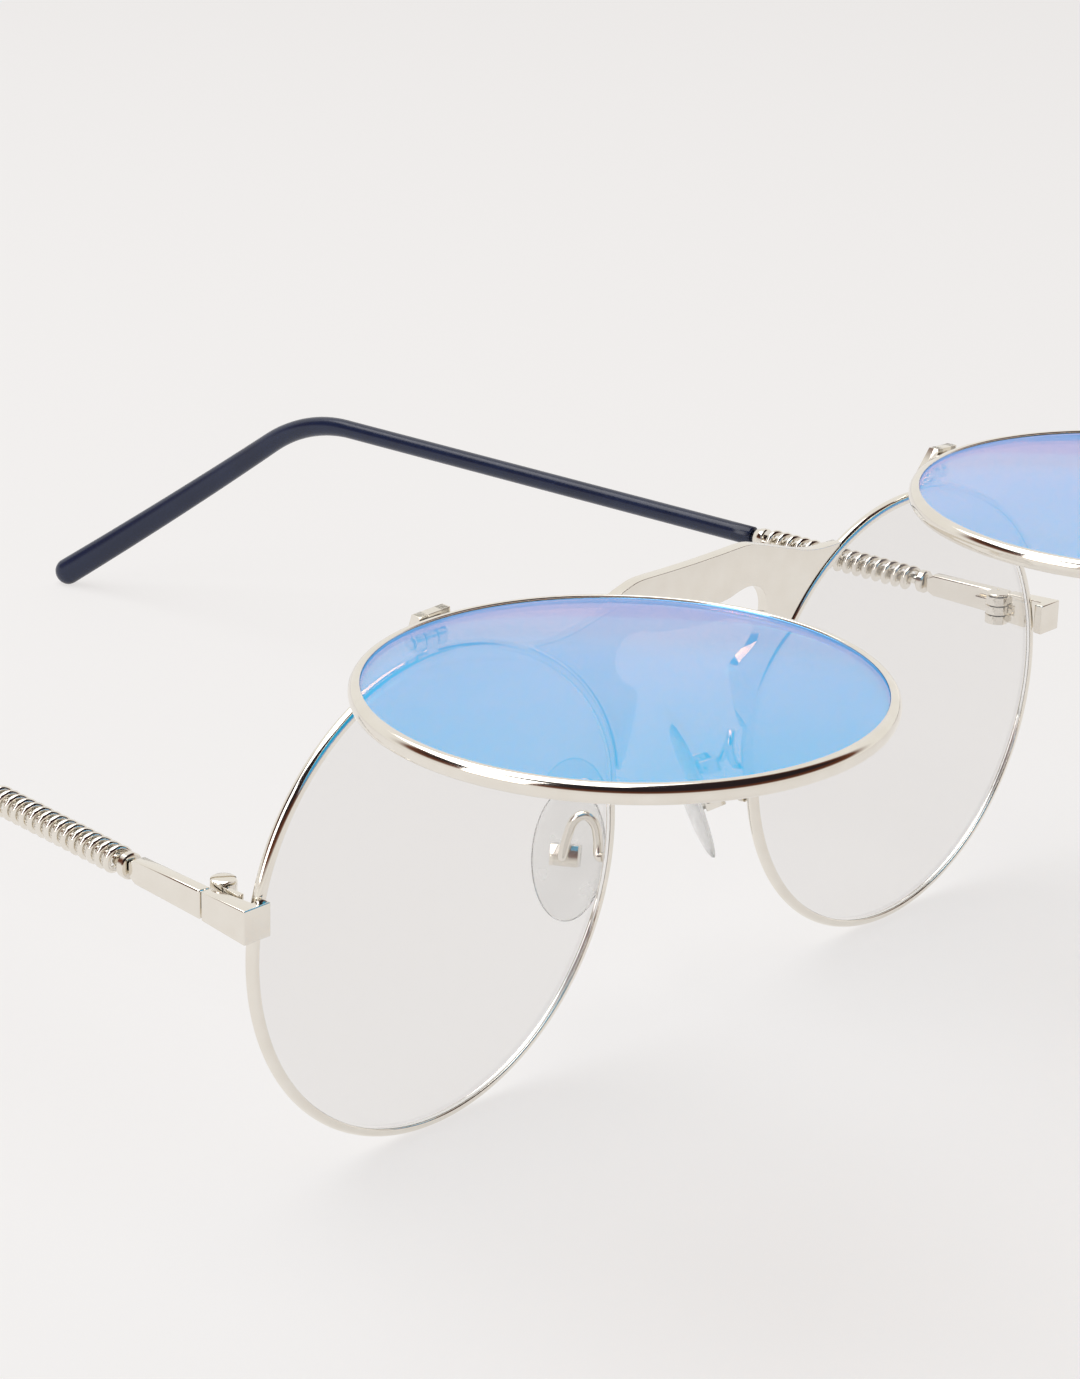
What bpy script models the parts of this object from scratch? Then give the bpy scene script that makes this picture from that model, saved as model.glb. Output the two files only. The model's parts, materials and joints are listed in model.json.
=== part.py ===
"""Round metal spectacles with clear lenses and two blue sun lenses that flip up.

The front stands upright with its lens centres at height zero in its own frame:
X runs across the front, Y from the front back along the temples, Z up.
A last step moves the whole object so that its origin is the middle of its base.
"""
import math

import bmesh
import bpy
from mathutils import Matrix, Vector

MM = 0.001
DEGREE = math.radians(1.0)

# Rims and lenses
LENS_DIAMETER = 48.0 * MM
SUN_LENS_INSET = 0.7 * MM
SUN_LENS_DIAMETER = LENS_DIAMETER - 2 * SUN_LENS_INSET
LENS_CENTRES = 70.2 * MM
LENS_THICKNESS = 1.0 * MM
SUN_LENS_THICKNESS = 1.0 * MM
LENS_EDGE_THICKNESS = 0.5 * MM
LENS_BULGE = 0.9 * MM
LENS_SEATING = 0.3 * MM
RIM_WALL = 0.9 * MM
RIM_DEPTH = 1.4 * MM
SUN_RIM_WALL = 1.05 * MM
SUN_RIM_DEPTH = 1.9 * MM
RIM_ROUNDING = 0.25 * MM
GROOVE_CLEARANCE = 0.3 * MM
RIM_SEGMENTS = 52

# Solder seats, running gaps and the overrun of every cutter
SOLDER_GAP = 0.2 * MM
RUNNING_GAP = 0.15 * MM
CUTTER_OVERRUN = 0.5 * MM

# Bridge plate, whose outline follows shares of the lens centres and the rim radius
PLATE_THICKNESS = 1.3 * MM
PLATE_EDGE = 0.12 * MM
PLATE_TOP_SHARES = [(0.0, 1.012), (0.12, 1.014), (0.228, 1.016), (0.285, 1.0), (0.342, 0.975), (0.44, 0.933),
                    (0.5, 0.909), (0.57, 0.893)]
PLATE_TOP_END_SHARE = 0.889
PLATE_LEG_END_SHARE = 0.10
PLATE_OPENING_SHARES = [(0.271, 0.192), (0.248, 0.314), (0.231, 0.425), (0.228, 0.492), (0.246, 0.538),
                        (0.295, 0.597), (0.325, 0.663), (0.33, 0.724), (0.318, 0.774), (0.29, 0.815),
                        (0.245, 0.832), (0.2, 0.825), (0.142, 0.807), (0.0, 0.795)]

# Hinge of each sun lens, on the top of its rim
FLIP_AXIS_OUTBOARD = 2.9 * MM
FLIP_AXIS_RISE = 1.34 * MM
FLIP_AXIS_FORWARD = 0.64 * MM
FLIP_SKEW = 6.98 * DEGREE
FLIP_OPENING = 90.4 * DEGREE
SUN_LENS_STANDOFF = 3.3 * MM
FLIP_KNUCKLE_RADIUS = 0.95 * MM
FLIP_PIN_RADIUS = 0.42 * MM
FLIP_PIN_HEAD_RADIUS = 0.62 * MM
FLIP_PIN_HEAD_LENGTH = 0.2 * MM
FLIP_BASE_WIDTH = 1.3 * MM
FLIP_LEAF_WIDTH = 3.7 * MM
FLIP_LEAF_THICKNESS = 0.85 * MM
FLIP_LEAF_CREST = 1.1 * MM
FLIP_NECK_SHARE = 0.53
FLIP_FOOT_WIDTH = 1.5 * MM

# End pieces at the outer side of each rim
END_HEIGHT = 5.0 * MM
END_DEPTH_FRONT = 3.4 * MM
END_DEPTH_BACK = 2.9 * MM
END_REACH = 2.2 * MM
END_TAPER = 0.6 * MM
END_LIP_THICKNESS = 1.1 * MM
END_LIP_COVER = 1.1 * MM
END_EDGE = 0.12 * MM
SPLIT_BEHIND_RIM = 4.6 * MM

# Temple hinges
KNUCKLE_RADIUS = 1.3 * MM
KNUCKLE_HEIGHT = 0.95 * MM
LEAF_THICKNESS = 0.7 * MM
LEAF_LENGTH = 3.4 * MM
SCREW_RADIUS = 0.55 * MM
SCREW_HEAD_RADIUS = 1.2 * MM
SCREW_HEAD_HEIGHT = 0.27 * MM
SCREW_SLOT_WIDTH = 0.3 * MM
SCREW_SLOT_DEPTH = 0.14 * MM

# Temples
TEMPLE_CONVERGENCE = 4.0 * DEGREE
TEMPLE_THICKNESS = 1.4 * MM
TEMPLE_PLATE_LENGTH = 10.6 * MM
TEMPLE_PLATE_END = 2.5 * MM
TEMPLE_SHOULDER = 0.5 * MM
FERRULE_RADIUS = 1.3 * MM
FRONT_FERRULE_LENGTH = 0.9 * MM
REAR_FERRULE_LENGTH = 1.8 * MM
REAR_FERRULE_END_RADIUS = 0.95 * MM
FERRULE_ROUNDING = 0.2 * MM
COIL_LENGTH = 21.0 * MM
COIL_TURNS = 14.5
COIL_WIRE_RADIUS = 0.36 * MM
COIL_CLEARANCE = 0.22 * MM
COIL_POINTS_PER_TURN = 9
WIRE_RADIUS = 0.55 * MM
SLEEVE_RADIUS = 1.15 * MM
SLEEVE_TIP_RADIUS = 1.8 * MM
SLEEVE_FLATTENING = 0.74
TIP_POINTS = 5
STEP_LENGTH = 0.03 * MM
HINGE_TO_BEND = 100.0 * MM
BEND_RADIUS = 22.0 * MM
BEND_ANGLE = 36.5 * DEGREE
TIP_INWARD = 8.5 * MM

# Nose pads on their wire arms
PAD_HEIGHT = 13.8 * MM
PAD_WIDTH = 7.6 * MM
PAD_THICKNESS = 2.0 * MM
PAD_BACK_SHARE = 0.35
PAD_INBOARD = 0.5 * MM
PAD_BEHIND = 6.8 * MM
PAD_BELOW = 5.6 * MM
PAD_FACING_SHARES = (0.80, 0.50, -0.33)
STUB_LENGTH = 1.7 * MM
STUB_WIDTH = 1.5 * MM
STUB_HEIGHT = 2.2 * MM
BOX_WALL = 0.5 * MM
PAD_SCREW_RADIUS = 0.35 * MM
ARM_RADIUS = 0.5 * MM
ARM_BELOW = 3.8 * MM
ARM_LOOP = 5.0 * MM
ARM_SHARES = ((0.0, 0.0, 0.0), (0.0, 0.15, 0.0), (-0.06, 0.23, 0.28), (-0.03, 0.3, 0.62), (0.14, 0.42, 0.83),
              (0.31, 0.55, 0.72), (0.36, 0.68, 0.33))
ARM_LEAD = 0.5 * MM

# Sizes that follow from the ones above
half_centres = LENS_CENTRES / 2
rim_inner = LENS_DIAMETER / 2 - LENS_SEATING
rim_outer = rim_inner + RIM_WALL
sun_rim_inner = SUN_LENS_DIAMETER / 2 - LENS_SEATING
sun_rim_outer = sun_rim_inner + SUN_RIM_WALL
end_outer_front = half_centres + rim_outer + END_REACH
end_outer_back = end_outer_front - END_TAPER
end_inner_front = half_centres + rim_outer + SOLDER_GAP
end_inner_back = end_outer_back - TEMPLE_THICKNESS
pivot_from_middle = end_inner_back - SOLDER_GAP - KNUCKLE_RADIUS
barrel_height = 3 * KNUCKLE_HEIGHT + 2 * RUNNING_GAP
temple_inner = KNUCKLE_RADIUS + SOLDER_GAP
temple_centre = temple_inner + TEMPLE_THICKNESS / 2
front_ferrule_start = TEMPLE_PLATE_LENGTH + SOLDER_GAP
core_start = front_ferrule_start + FRONT_FERRULE_LENGTH
core_end = core_start + COIL_LENGTH + 2 * SOLDER_GAP
rear_ferrule_end = core_end + REAR_FERRULE_LENGTH
sleeve_start = rear_ferrule_end + SOLDER_GAP
coil_radius = WIRE_RADIUS + COIL_CLEARANCE + COIL_WIRE_RADIUS
pad_from_middle = half_centres - rim_outer - PAD_INBOARD


def clear_scene():
    for old in list(bpy.data.objects):
        bpy.data.objects.remove(old, do_unlink=True)


def make_collection(name):
    collection = bpy.data.collections.new(name)
    bpy.context.scene.collection.children.link(collection)
    return collection


def linear(channel):
    return channel / 12.92 if channel <= 0.04045 else ((channel + 0.055) / 1.055) ** 2.4


def make_material(name, hex_colour, roughness, metallic, alpha=1.0):
    made = bpy.data.materials.new(name)
    made.use_nodes = True
    shader = made.node_tree.nodes["Principled BSDF"]
    channels = [linear(int(hex_colour[place:place + 2], 16) / 255) for place in (0, 2, 4)]
    shader.inputs["Base Color"].default_value = (*channels, 1.0)
    shader.inputs["Roughness"].default_value = roughness
    shader.inputs["Metallic"].default_value = metallic
    shader.inputs["Alpha"].default_value = alpha
    made.diffuse_color = (*channels, alpha)
    return made


clear_scene()
parts = make_collection("flip_up_round_sunglasses")
cutters = make_collection("cutters")
silver = make_material("polished_silver", "D9D3C8", 0.12, 1.0)
blue_glass = make_material("blue_sun_lens", "6FB0EC", 0.08, 0.1, 0.85)
clear_glass = make_material("clear_lens", "EEF1F3", 0.05, 0.0, 0.25)
navy_sleeve = make_material("navy_acetate", "1D2946", 0.28, 0.0)
silicone = make_material("clear_silicone", "E6EAEA", 0.3, 0.0, 0.5)

UPRIGHT = Matrix.Rotation(math.pi / 2, 4, "X")
ACROSS = Matrix(((0, 0, 1, 0), (1, 0, 0, 0), (0, 1, 0, 0), (0, 0, 0, 1)))


def add_empty(name, parent, matrix):
    empty = bpy.data.objects.new(name, None)
    parts.objects.link(empty)
    empty.parent = parent
    empty.matrix_basis = matrix
    return empty


def add_piece(name, mesh, finish, parent, matrix=Matrix.Identity(4)):
    mesh.materials.append(finish)
    piece = bpy.data.objects.new(name, mesh)
    parts.objects.link(piece)
    piece.parent = parent
    piece.matrix_basis = matrix
    return piece


def mesh_from(bm, name):
    bmesh.ops.remove_doubles(bm, verts=bm.verts, dist=MM * MM)
    bmesh.ops.recalc_face_normals(bm, faces=bm.faces)
    mesh = bpy.data.meshes.new(name)
    bm.to_mesh(mesh)
    bm.free()
    return mesh


def curve_mesh(name, curve):
    """Turn a curve into one welded mesh, so that it can be cut and bevelled."""
    holder = bpy.data.objects.new(name, curve)
    bpy.context.scene.collection.objects.link(holder)
    seen = holder.evaluated_get(bpy.context.evaluated_depsgraph_get())
    rough = bpy.data.meshes.new_from_object(seen)
    bm = bmesh.new()
    bm.from_mesh(rough)
    bpy.data.objects.remove(holder, do_unlink=True)
    bpy.data.meshes.remove(rough)
    bpy.data.curves.remove(curve)
    return mesh_from(bm, name)


def sheet_mesh(name, outlines, thickness):
    """A flat outline, with any holes, given its thickness about the plane it is drawn in."""
    curve = bpy.data.curves.new(name, "CURVE")
    curve.dimensions = "2D"
    curve.fill_mode = "BOTH"
    curve.extrude = thickness / 2
    for outline in outlines:
        spline = curve.splines.new("POLY")
        spline.points.add(len(outline) - 1)
        for point, (x, y) in zip(spline.points, outline):
            point.co = (x, y, 0, 1)
        spline.use_cyclic_u = True
    return curve_mesh(name, curve)


def tube_mesh(name, path, radius, swell=None, fineness=2):
    """A round wire or sleeve along a path; swell gives its radius at each point as a share."""
    curve = bpy.data.curves.new(name, "CURVE")
    curve.dimensions = "3D"
    curve.bevel_depth = radius
    curve.bevel_resolution = fineness
    curve.use_fill_caps = True
    spline = curve.splines.new("POLY")
    spline.points.add(len(path) - 1)
    for place, point in enumerate(path):
        spline.points[place].co = (*point, 1)
        spline.points[place].radius = swell[place] if swell else 1.0
    return curve_mesh(name, curve)


def turned_piece(name, profile, finish, parent, matrix, closed=False, segments=RIM_SEGMENTS):
    """A profile of radius and height, turned round the local Z axis by a Screw modifier."""
    mesh = bpy.data.meshes.new(name)
    count = len(profile)
    edges = [(place, place + 1) for place in range(count - 1)]
    if closed:
        edges.append((count - 1, 0))
    mesh.from_pydata([(radius, 0, height) for radius, height in profile], edges, [])
    piece = add_piece(name, mesh, finish, parent, matrix)
    screw = piece.modifiers.new("turn", "SCREW")
    screw.steps = segments
    screw.render_steps = segments
    screw.use_merge_vertices = True
    screw.merge_threshold = MM * MM
    screw.use_smooth_shade = True
    return piece


def add_bevel(piece, width, segments=1):
    bevel = piece.modifiers.new("edge", "BEVEL")
    bevel.width = width
    bevel.segments = segments
    bevel.limit_method = "ANGLE"
    bevel.angle_limit = 40 * DEGREE


def cut(piece, mesh, matrix=Matrix.Identity(4)):
    """Subtract a cutter, placed in the frame of the piece's parent."""
    cutter = bpy.data.objects.new(mesh.name, mesh)
    cutters.objects.link(cutter)
    cutter.parent = piece.parent
    cutter.matrix_basis = matrix
    cutter.hide_render = True
    cutter.display_type = "WIRE"
    boolean = piece.modifiers.new("cut", "BOOLEAN")
    boolean.operation = "DIFFERENCE"
    boolean.object = cutter


def join(piece, mesh, matrix=Matrix.Identity(4)):
    """Unite a second shape with a piece, both in the frame of the piece's parent."""
    cut(piece, mesh, matrix)
    piece.modifiers[-1].operation = "UNION"


def box_mesh(name, low, high):
    bm = bmesh.new()
    bmesh.ops.create_cube(bm, size=1.0)
    low, high = Vector(low), Vector(high)
    bmesh.ops.scale(bm, vec=high - low, verts=bm.verts)
    bmesh.ops.translate(bm, vec=(low + high) / 2, verts=bm.verts)
    return mesh_from(bm, name)


def rod_mesh(name, radius, length, segments=24):
    bm = bmesh.new()
    bmesh.ops.create_cone(bm, cap_ends=True, segments=segments, radius1=radius, radius2=radius, depth=length)
    return mesh_from(bm, name)


def circle_points(radius, segments=24, start=0.0, sweep=2 * math.pi, closed=True):
    steps = segments if closed else segments - 1
    turns = [start + sweep * place / steps for place in range(segments)]
    return [(radius * math.cos(turn), radius * math.sin(turn)) for turn in turns]


def smooth_through(points, steps=4):
    """Points along a rounded curve that passes through every given point."""
    padded = [points[0], *points, points[-1]]
    smooth = []
    for before, first, second, after in zip(padded, padded[1:], padded[2:], padded[3:]):
        for step in range(steps):
            share = step / steps
            smooth.append(tuple(
                0.5 * (2 * b + (c - a) * share + (2 * a - 5 * b + 4 * c - d) * share ** 2
                       + (3 * b - a - 3 * c + d) * share ** 3)
                for a, b, c, d in zip(before, first, second, after)))
    smooth.append(points[-1])
    return smooth


def rim_profile(inner, outer, depth, lens_thickness):
    """A rounded bar with a groove on its inner side for the bevelled edge of the lens."""
    top = depth / 2
    edge = LENS_EDGE_THICKNESS / 2
    bevel_share = LENS_SEATING / (LENS_SEATING + GROOVE_CLEARANCE / 2)
    mouth = edge + (lens_thickness / 2 - edge) * bevel_share + GROOVE_CLEARANCE / 2
    floor = edge + GROOVE_CLEARANCE / 2
    bottom = inner + LENS_SEATING + GROOVE_CLEARANCE
    corner = RIM_ROUNDING / 3
    lip = min(corner, (top - mouth) / 2)
    outside = [(outer - RIM_ROUNDING, top), (outer - corner, top - corner), (outer, top - RIM_ROUNDING),
               (outer, RIM_ROUNDING - top), (outer - corner, corner - top), (outer - RIM_ROUNDING, -top)]
    inside = [(inner + lip, -top), (inner, lip - top), (inner, -mouth), (bottom, -floor), (bottom, floor),
              (inner, mouth), (inner, top - lip), (inner + lip, top)]
    return outside + inside


def lens_profile(diameter, thickness):
    """A thin meniscus whose bevelled edge sits in the groove of its rim."""
    edge = diameter / 2
    shoulder = edge - LENS_SEATING - GROOVE_CLEARANCE / 2
    half = thickness / 2
    shares = (0.0, 0.55)
    bulges = [LENS_BULGE * (1 - share ** 2) for share in shares]
    front = [(shoulder * share, half + bulge) for share, bulge in zip(shares, bulges)]
    back = [(shoulder * share, bulge - half) for share, bulge in zip(shares, bulges)]
    edge_points = [(shoulder, half), (edge, LENS_EDGE_THICKNESS / 2), (edge, -LENS_EDGE_THICKNESS / 2),
                   (shoulder, -half)]
    return front + edge_points + back[::-1]


def plate_outline():
    """The bridge plate: level crest, arched nose opening, and legs that follow both rims."""
    def placed(shares):
        return [(across * half_centres, height * rim_outer) for across, height in shares]

    hug = rim_outer + SOLDER_GAP
    high = math.asin(PLATE_TOP_END_SHARE * rim_outer / hug)
    low = math.asin(PLATE_LEG_END_SHARE * rim_outer / hug)
    arc = [(half_centres - x, y) for x, y in circle_points(hug, 18, high, low - high, closed=False)]
    top = smooth_through([*placed(PLATE_TOP_SHARES), arc[0]], 2)
    opening = smooth_through([arc[-1], *placed(PLATE_OPENING_SHARES)], 2)
    half = top[:-1] + arc + opening[1:]
    mirrored = [(-x, y) for x, y in half[1:-1]]
    return half + mirrored[::-1]


def barrel_outline(radius, thickness, length, side, along):
    """A hinge barrel with a flat leaf leaving it at its outer side, seen from above."""
    start = math.asin((radius - thickness) / radius)
    arc = circle_points(radius, 20, math.pi / 2 - start, 3 * math.pi / 2 + start, closed=False)
    outline = [(radius, length), (radius - thickness, length), *arc]
    return [(side * x, along * y) for x, y in outline]


def drilled(outline, hole):
    return [outline, circle_points(hole, 16)]


def make_front(centre):
    profile = rim_profile(rim_inner, rim_outer, RIM_DEPTH, LENS_THICKNESS)
    for side, name in ((-1, "left"), (1, "right")):
        seat = Matrix.Translation((side * half_centres, 0, 0)) @ UPRIGHT
        turned_piece(f"{name}_rim", profile, silver, centre, seat, closed=True)
        turned_piece(f"{name}_clear_lens", lens_profile(LENS_DIAMETER, LENS_THICKNESS), clear_glass, centre, seat)
        make_end_piece(centre, side, name)
        make_lens_hinge(centre, side, name)
        make_nose_pad(centre, side, name)
        make_temple(centre, side, name)
    plate = add_piece("bridge_plate", sheet_mesh("bridge_plate", [plate_outline()], PLATE_THICKNESS), silver,
                      centre, UPRIGHT)
    add_bevel(plate, PLATE_EDGE)


def make_end_piece(centre, side, name):
    """A bent block soldered to the rim: its front lip covers the rim, its side runs back to the hinge."""
    rim_front = RIM_DEPTH / 2
    lip_back = -rim_front - SOLDER_GAP
    lip_front = lip_back - END_LIP_THICKNESS
    lip_end = half_centres + rim_outer - END_LIP_COVER
    split = SPLIT_BEHIND_RIM - RUNNING_GAP
    outline = [(lip_end, lip_front), (end_outer_front, lip_front), (end_outer_back, split),
               (end_inner_back, split), (end_inner_front, rim_front + SOLDER_GAP),
               (end_inner_front, lip_back), (lip_end, lip_back)]
    mesh = sheet_mesh(f"{name}_end_piece", [[(side * x, y) for x, y in outline]], END_DEPTH_FRONT)
    for vertex in mesh.vertices:
        share = (vertex.co.y - lip_front) / (split - lip_front)
        vertex.co.z *= 1 - share * (1 - END_DEPTH_BACK / END_DEPTH_FRONT)
    piece = add_piece(f"{name}_end_piece", mesh, silver, centre, Matrix.Translation((0, 0, END_HEIGHT)))
    add_bevel(piece, END_EDGE)

    pivot = Matrix.Translation((side * pivot_from_middle, SPLIT_BEHIND_RIM, END_HEIGHT))
    outline = barrel_outline(KNUCKLE_RADIUS, LEAF_THICKNESS, LEAF_LENGTH, side, -1)
    hole = SCREW_RADIUS + RUNNING_GAP
    leaf = add_piece(f"{name}_hinge_front_leaf",
                     sheet_mesh(f"{name}_hinge_front_leaf", drilled(outline, hole), barrel_height), silver,
                     centre, pivot)
    slot = rod_mesh(f"{name}_hinge_slot_cutter", KNUCKLE_RADIUS + SOLDER_GAP, KNUCKLE_HEIGHT + 2 * RUNNING_GAP)
    cut(leaf, slot, pivot)
    make_hinge_screw(centre, name, pivot)


def make_hinge_screw(centre, name, pivot):
    head_low = barrel_height / 2 + RUNNING_GAP
    head_high = head_low + SCREW_HEAD_HEIGHT
    profile = [(0, head_high), (SCREW_HEAD_RADIUS - SCREW_SLOT_DEPTH, head_high),
               (SCREW_HEAD_RADIUS, head_high - SCREW_SLOT_DEPTH), (SCREW_HEAD_RADIUS, head_low),
               (SCREW_RADIUS, head_low), (SCREW_RADIUS, -barrel_height / 2), (0, -barrel_height / 2)]
    screw = turned_piece(f"{name}_hinge_screw", profile, silver, centre, pivot, segments=20)
    reach = SCREW_HEAD_RADIUS + CUTTER_OVERRUN
    slot = box_mesh(f"{name}_screw_slot_cutter", (-reach, -SCREW_SLOT_WIDTH / 2, head_high - SCREW_SLOT_DEPTH),
                    (reach, SCREW_SLOT_WIDTH / 2, head_high + CUTTER_OVERRUN))
    cut(screw, slot, pivot)


def flip_axis_frame(side):
    """The flip hinge's frame with the sun lens closed: X along the pin, Z nearly up."""
    lean = math.sin(FLIP_SKEW) / math.sqrt(2)
    along = Vector((math.cos(FLIP_SKEW), side * lean, -side * lean))
    up = Vector((0, 0, 1))
    up = (up - up.dot(along) * along).normalized()
    back = up.cross(along)
    turn = Matrix((along, back, up)).transposed().to_4x4()
    place = Vector((side * (half_centres + FLIP_AXIS_OUTBOARD), -FLIP_AXIS_FORWARD, rim_outer + FLIP_AXIS_RISE))
    return Matrix.Translation(place) @ turn


def make_lens_hinge(centre, side, name):
    closed = flip_axis_frame(side)
    rim_top = math.sqrt(rim_outer ** 2 - FLIP_AXIS_OUTBOARD ** 2)
    to_rim = rim_outer + FLIP_AXIS_RISE - rim_top - SOLDER_GAP
    bore = FLIP_PIN_RADIUS + RUNNING_GAP

    foot = FLIP_FOOT_WIDTH / 2
    corner = math.asin(foot / FLIP_KNUCKLE_RADIUS)
    arc = circle_points(FLIP_KNUCKLE_RADIUS, 20, corner - math.pi / 2, 2 * (math.pi - corner), closed=False)
    outline = [(-foot, -to_rim), (foot, -to_rim), *arc]
    base_mesh = sheet_mesh(f"{name}_lens_hinge_base", drilled(outline, bore), FLIP_BASE_WIDTH)
    add_piece(f"{name}_lens_hinge_base", base_mesh, silver, centre, closed @ ACROSS)

    half_pin = FLIP_LEAF_WIDTH / 2 + RUNNING_GAP
    end = half_pin + FLIP_PIN_HEAD_LENGTH
    profile = [(0, end), (FLIP_PIN_HEAD_RADIUS, end), (FLIP_PIN_HEAD_RADIUS, half_pin), (FLIP_PIN_RADIUS, half_pin),
               (FLIP_PIN_RADIUS, -half_pin), (FLIP_PIN_HEAD_RADIUS, -half_pin), (FLIP_PIN_HEAD_RADIUS, -end),
               (0, -end)]
    turned_piece(f"{name}_lens_hinge_pin", profile, silver, centre, closed @ ACROSS, segments=16)

    raised = closed @ Matrix.Rotation(-FLIP_OPENING, 4, "X")
    axis = add_empty(f"{name}_flip_axis", centre, raised)
    seat = closed.inverted() @ Matrix.Translation((side * half_centres, -SUN_LENS_STANDOFF, 0)) @ UPRIGHT
    sun_rim = rim_profile(sun_rim_inner, sun_rim_outer, SUN_RIM_DEPTH, SUN_LENS_THICKNESS)
    turned_piece(f"{name}_sun_rim", sun_rim, silver, axis, seat, closed=True)
    turned_piece(f"{name}_sun_lens", lens_profile(SUN_LENS_DIAMETER, SUN_LENS_THICKNESS), blue_glass, axis, seat)

    leg_foot = rim_outer + FLIP_AXIS_RISE - sun_rim_outer - SOLDER_GAP
    leg_back = FLIP_AXIS_FORWARD - SUN_LENS_STANDOFF + FLIP_LEAF_THICKNESS
    leg_front = leg_back - 2 * FLIP_LEAF_THICKNESS
    crest = FLIP_LEAF_CREST - leg_foot
    under = -FLIP_NECK_SHARE * FLIP_KNUCKLE_RADIUS
    start = math.asin(FLIP_NECK_SHARE)
    arc = circle_points(FLIP_KNUCKLE_RADIUS, 20, math.pi + start, math.pi * 1.5 - start, closed=False)
    outline = [(leg_front, crest), (leg_front, -leg_foot), (leg_back, -leg_foot), (leg_back, under), *arc]
    leaf = add_piece(f"{name}_sun_lens_leaf",
                     sheet_mesh(f"{name}_sun_lens_leaf", drilled(outline, bore), FLIP_LEAF_WIDTH), silver, axis,
                     ACROSS)
    room = FLIP_KNUCKLE_RADIUS + SOLDER_GAP
    slot_half = FLIP_BASE_WIDTH / 2 + RUNNING_GAP
    slot = box_mesh(f"{name}_leaf_slot_cutter", (-slot_half, -room, -room), (slot_half, room, room))
    cut(leaf, slot)


def pad_frame(side):
    """The frame of a nose pad: X points at the nose, Z up along the pad."""
    across, back, down = PAD_FACING_SHARES
    facing = Vector((-side * across, back, down)).normalized()
    up = Vector((0, 0, 1))
    up = (up - up.dot(facing) * facing).normalized()
    turn = Matrix((facing, up.cross(facing), up)).transposed().to_4x4()
    return Matrix.Translation((side * pad_from_middle, PAD_BEHIND, -PAD_BELOW)) @ turn


def make_nose_pad(centre, side, name):
    seat = pad_frame(side)
    pad_back = PAD_BACK_SHARE * PAD_THICKNESS / 2
    stub_end = -pad_back - STUB_LENGTH
    pin = stub_end + STUB_LENGTH / 2
    box_back = stub_end - 2 * SOLDER_GAP
    box_front = -pad_back - 2 * SOLDER_GAP
    cheek = STUB_WIDTH / 2 + SOLDER_GAP
    outer = cheek + BOX_WALL

    axis = add_empty(f"{name}_pad_axis", centre, seat @ Matrix.Translation((pin, 0, 0)))
    bm = bmesh.new()
    bmesh.ops.create_uvsphere(bm, u_segments=16, v_segments=10, radius=0.5)
    bmesh.ops.scale(bm, vec=(PAD_THICKNESS, PAD_WIDTH, PAD_HEIGHT), verts=bm.verts)
    for vertex in bm.verts:
        if vertex.co.x < 0:
            vertex.co.x *= PAD_BACK_SHARE
    bmesh.ops.translate(bm, vec=(-pin, 0, 0), verts=bm.verts)
    pad = add_piece(f"{name}_nose_pad", mesh_from(bm, f"{name}_nose_pad"), silicone, axis)
    stub = box_mesh(f"{name}_pad_stub", (stub_end - pin, -STUB_WIDTH / 2, -STUB_HEIGHT / 2),
                    (-pin, STUB_WIDTH / 2, STUB_HEIGHT / 2))
    join(pad, stub)
    along = Matrix.Rotation(math.pi / 2, 4, "X")
    bore = PAD_SCREW_RADIUS + RUNNING_GAP
    cut(pad, rod_mesh(f"{name}_pad_bore_cutter", bore, STUB_WIDTH + 2 * CUTTER_OVERRUN, 12), along)

    outline = [(box_front, -outer), (box_front, -cheek), (box_back, -cheek), (box_back, cheek),
               (box_front, cheek), (box_front, outer), (box_back - BOX_WALL, outer), (box_back - BOX_WALL, -outer)]
    box = add_piece(f"{name}_pad_box", sheet_mesh(f"{name}_pad_box", [outline], STUB_HEIGHT), silver, centre, seat)
    at_pin = seat @ Matrix.Translation((pin, 0, 0)) @ along
    cut(box, rod_mesh(f"{name}_box_bore_cutter", bore, 2 * (outer + CUTTER_OVERRUN), 12), at_pin)
    add_piece(f"{name}_pad_screw", rod_mesh(f"{name}_pad_screw", PAD_SCREW_RADIUS, 2 * outer, 12), silver, centre,
              at_pin)

    rim_middle = rim_outer - RIM_WALL / 2
    start = Vector((side * (half_centres - math.sqrt(rim_middle ** 2 - ARM_BELOW ** 2)),
                    RIM_DEPTH / 2 + SOLDER_GAP, -ARM_BELOW))
    end = seat @ Vector((box_back - BOX_WALL - SOLDER_GAP, 0, 0))
    arrive = seat @ Vector((box_back - BOX_WALL - SOLDER_GAP - ARM_LEAD, 0, 0))
    loop = [start + ARM_LOOP * Vector((side * across, back, up)) for across, back, up in ARM_SHARES]
    path = smooth_through([*loop, arrive, end], 3)
    add_piece(f"{name}_pad_arm", tube_mesh(f"{name}_pad_arm", path, ARM_RADIUS), silver, centre)


def coil_path(side):
    """The wound wire: a steady helix round the core, its ends square to the two ferrules."""
    start = core_start + SOLDER_GAP + 2 * COIL_WIRE_RADIUS
    length = COIL_LENGTH - 4 * COIL_WIRE_RADIUS
    count = round(COIL_TURNS * COIL_POINTS_PER_TURN)
    path = []
    for place in range(count + 1):
        turn = 2 * math.pi * place / COIL_POINTS_PER_TURN
        path.append(Vector((side * temple_centre + coil_radius * math.cos(turn),
                            start + length * place / count, coil_radius * math.sin(turn))))
    stub = Vector((0, 2 * COIL_WIRE_RADIUS, 0))
    return [path[0] - stub, *path, path[-1] + stub]


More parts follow.
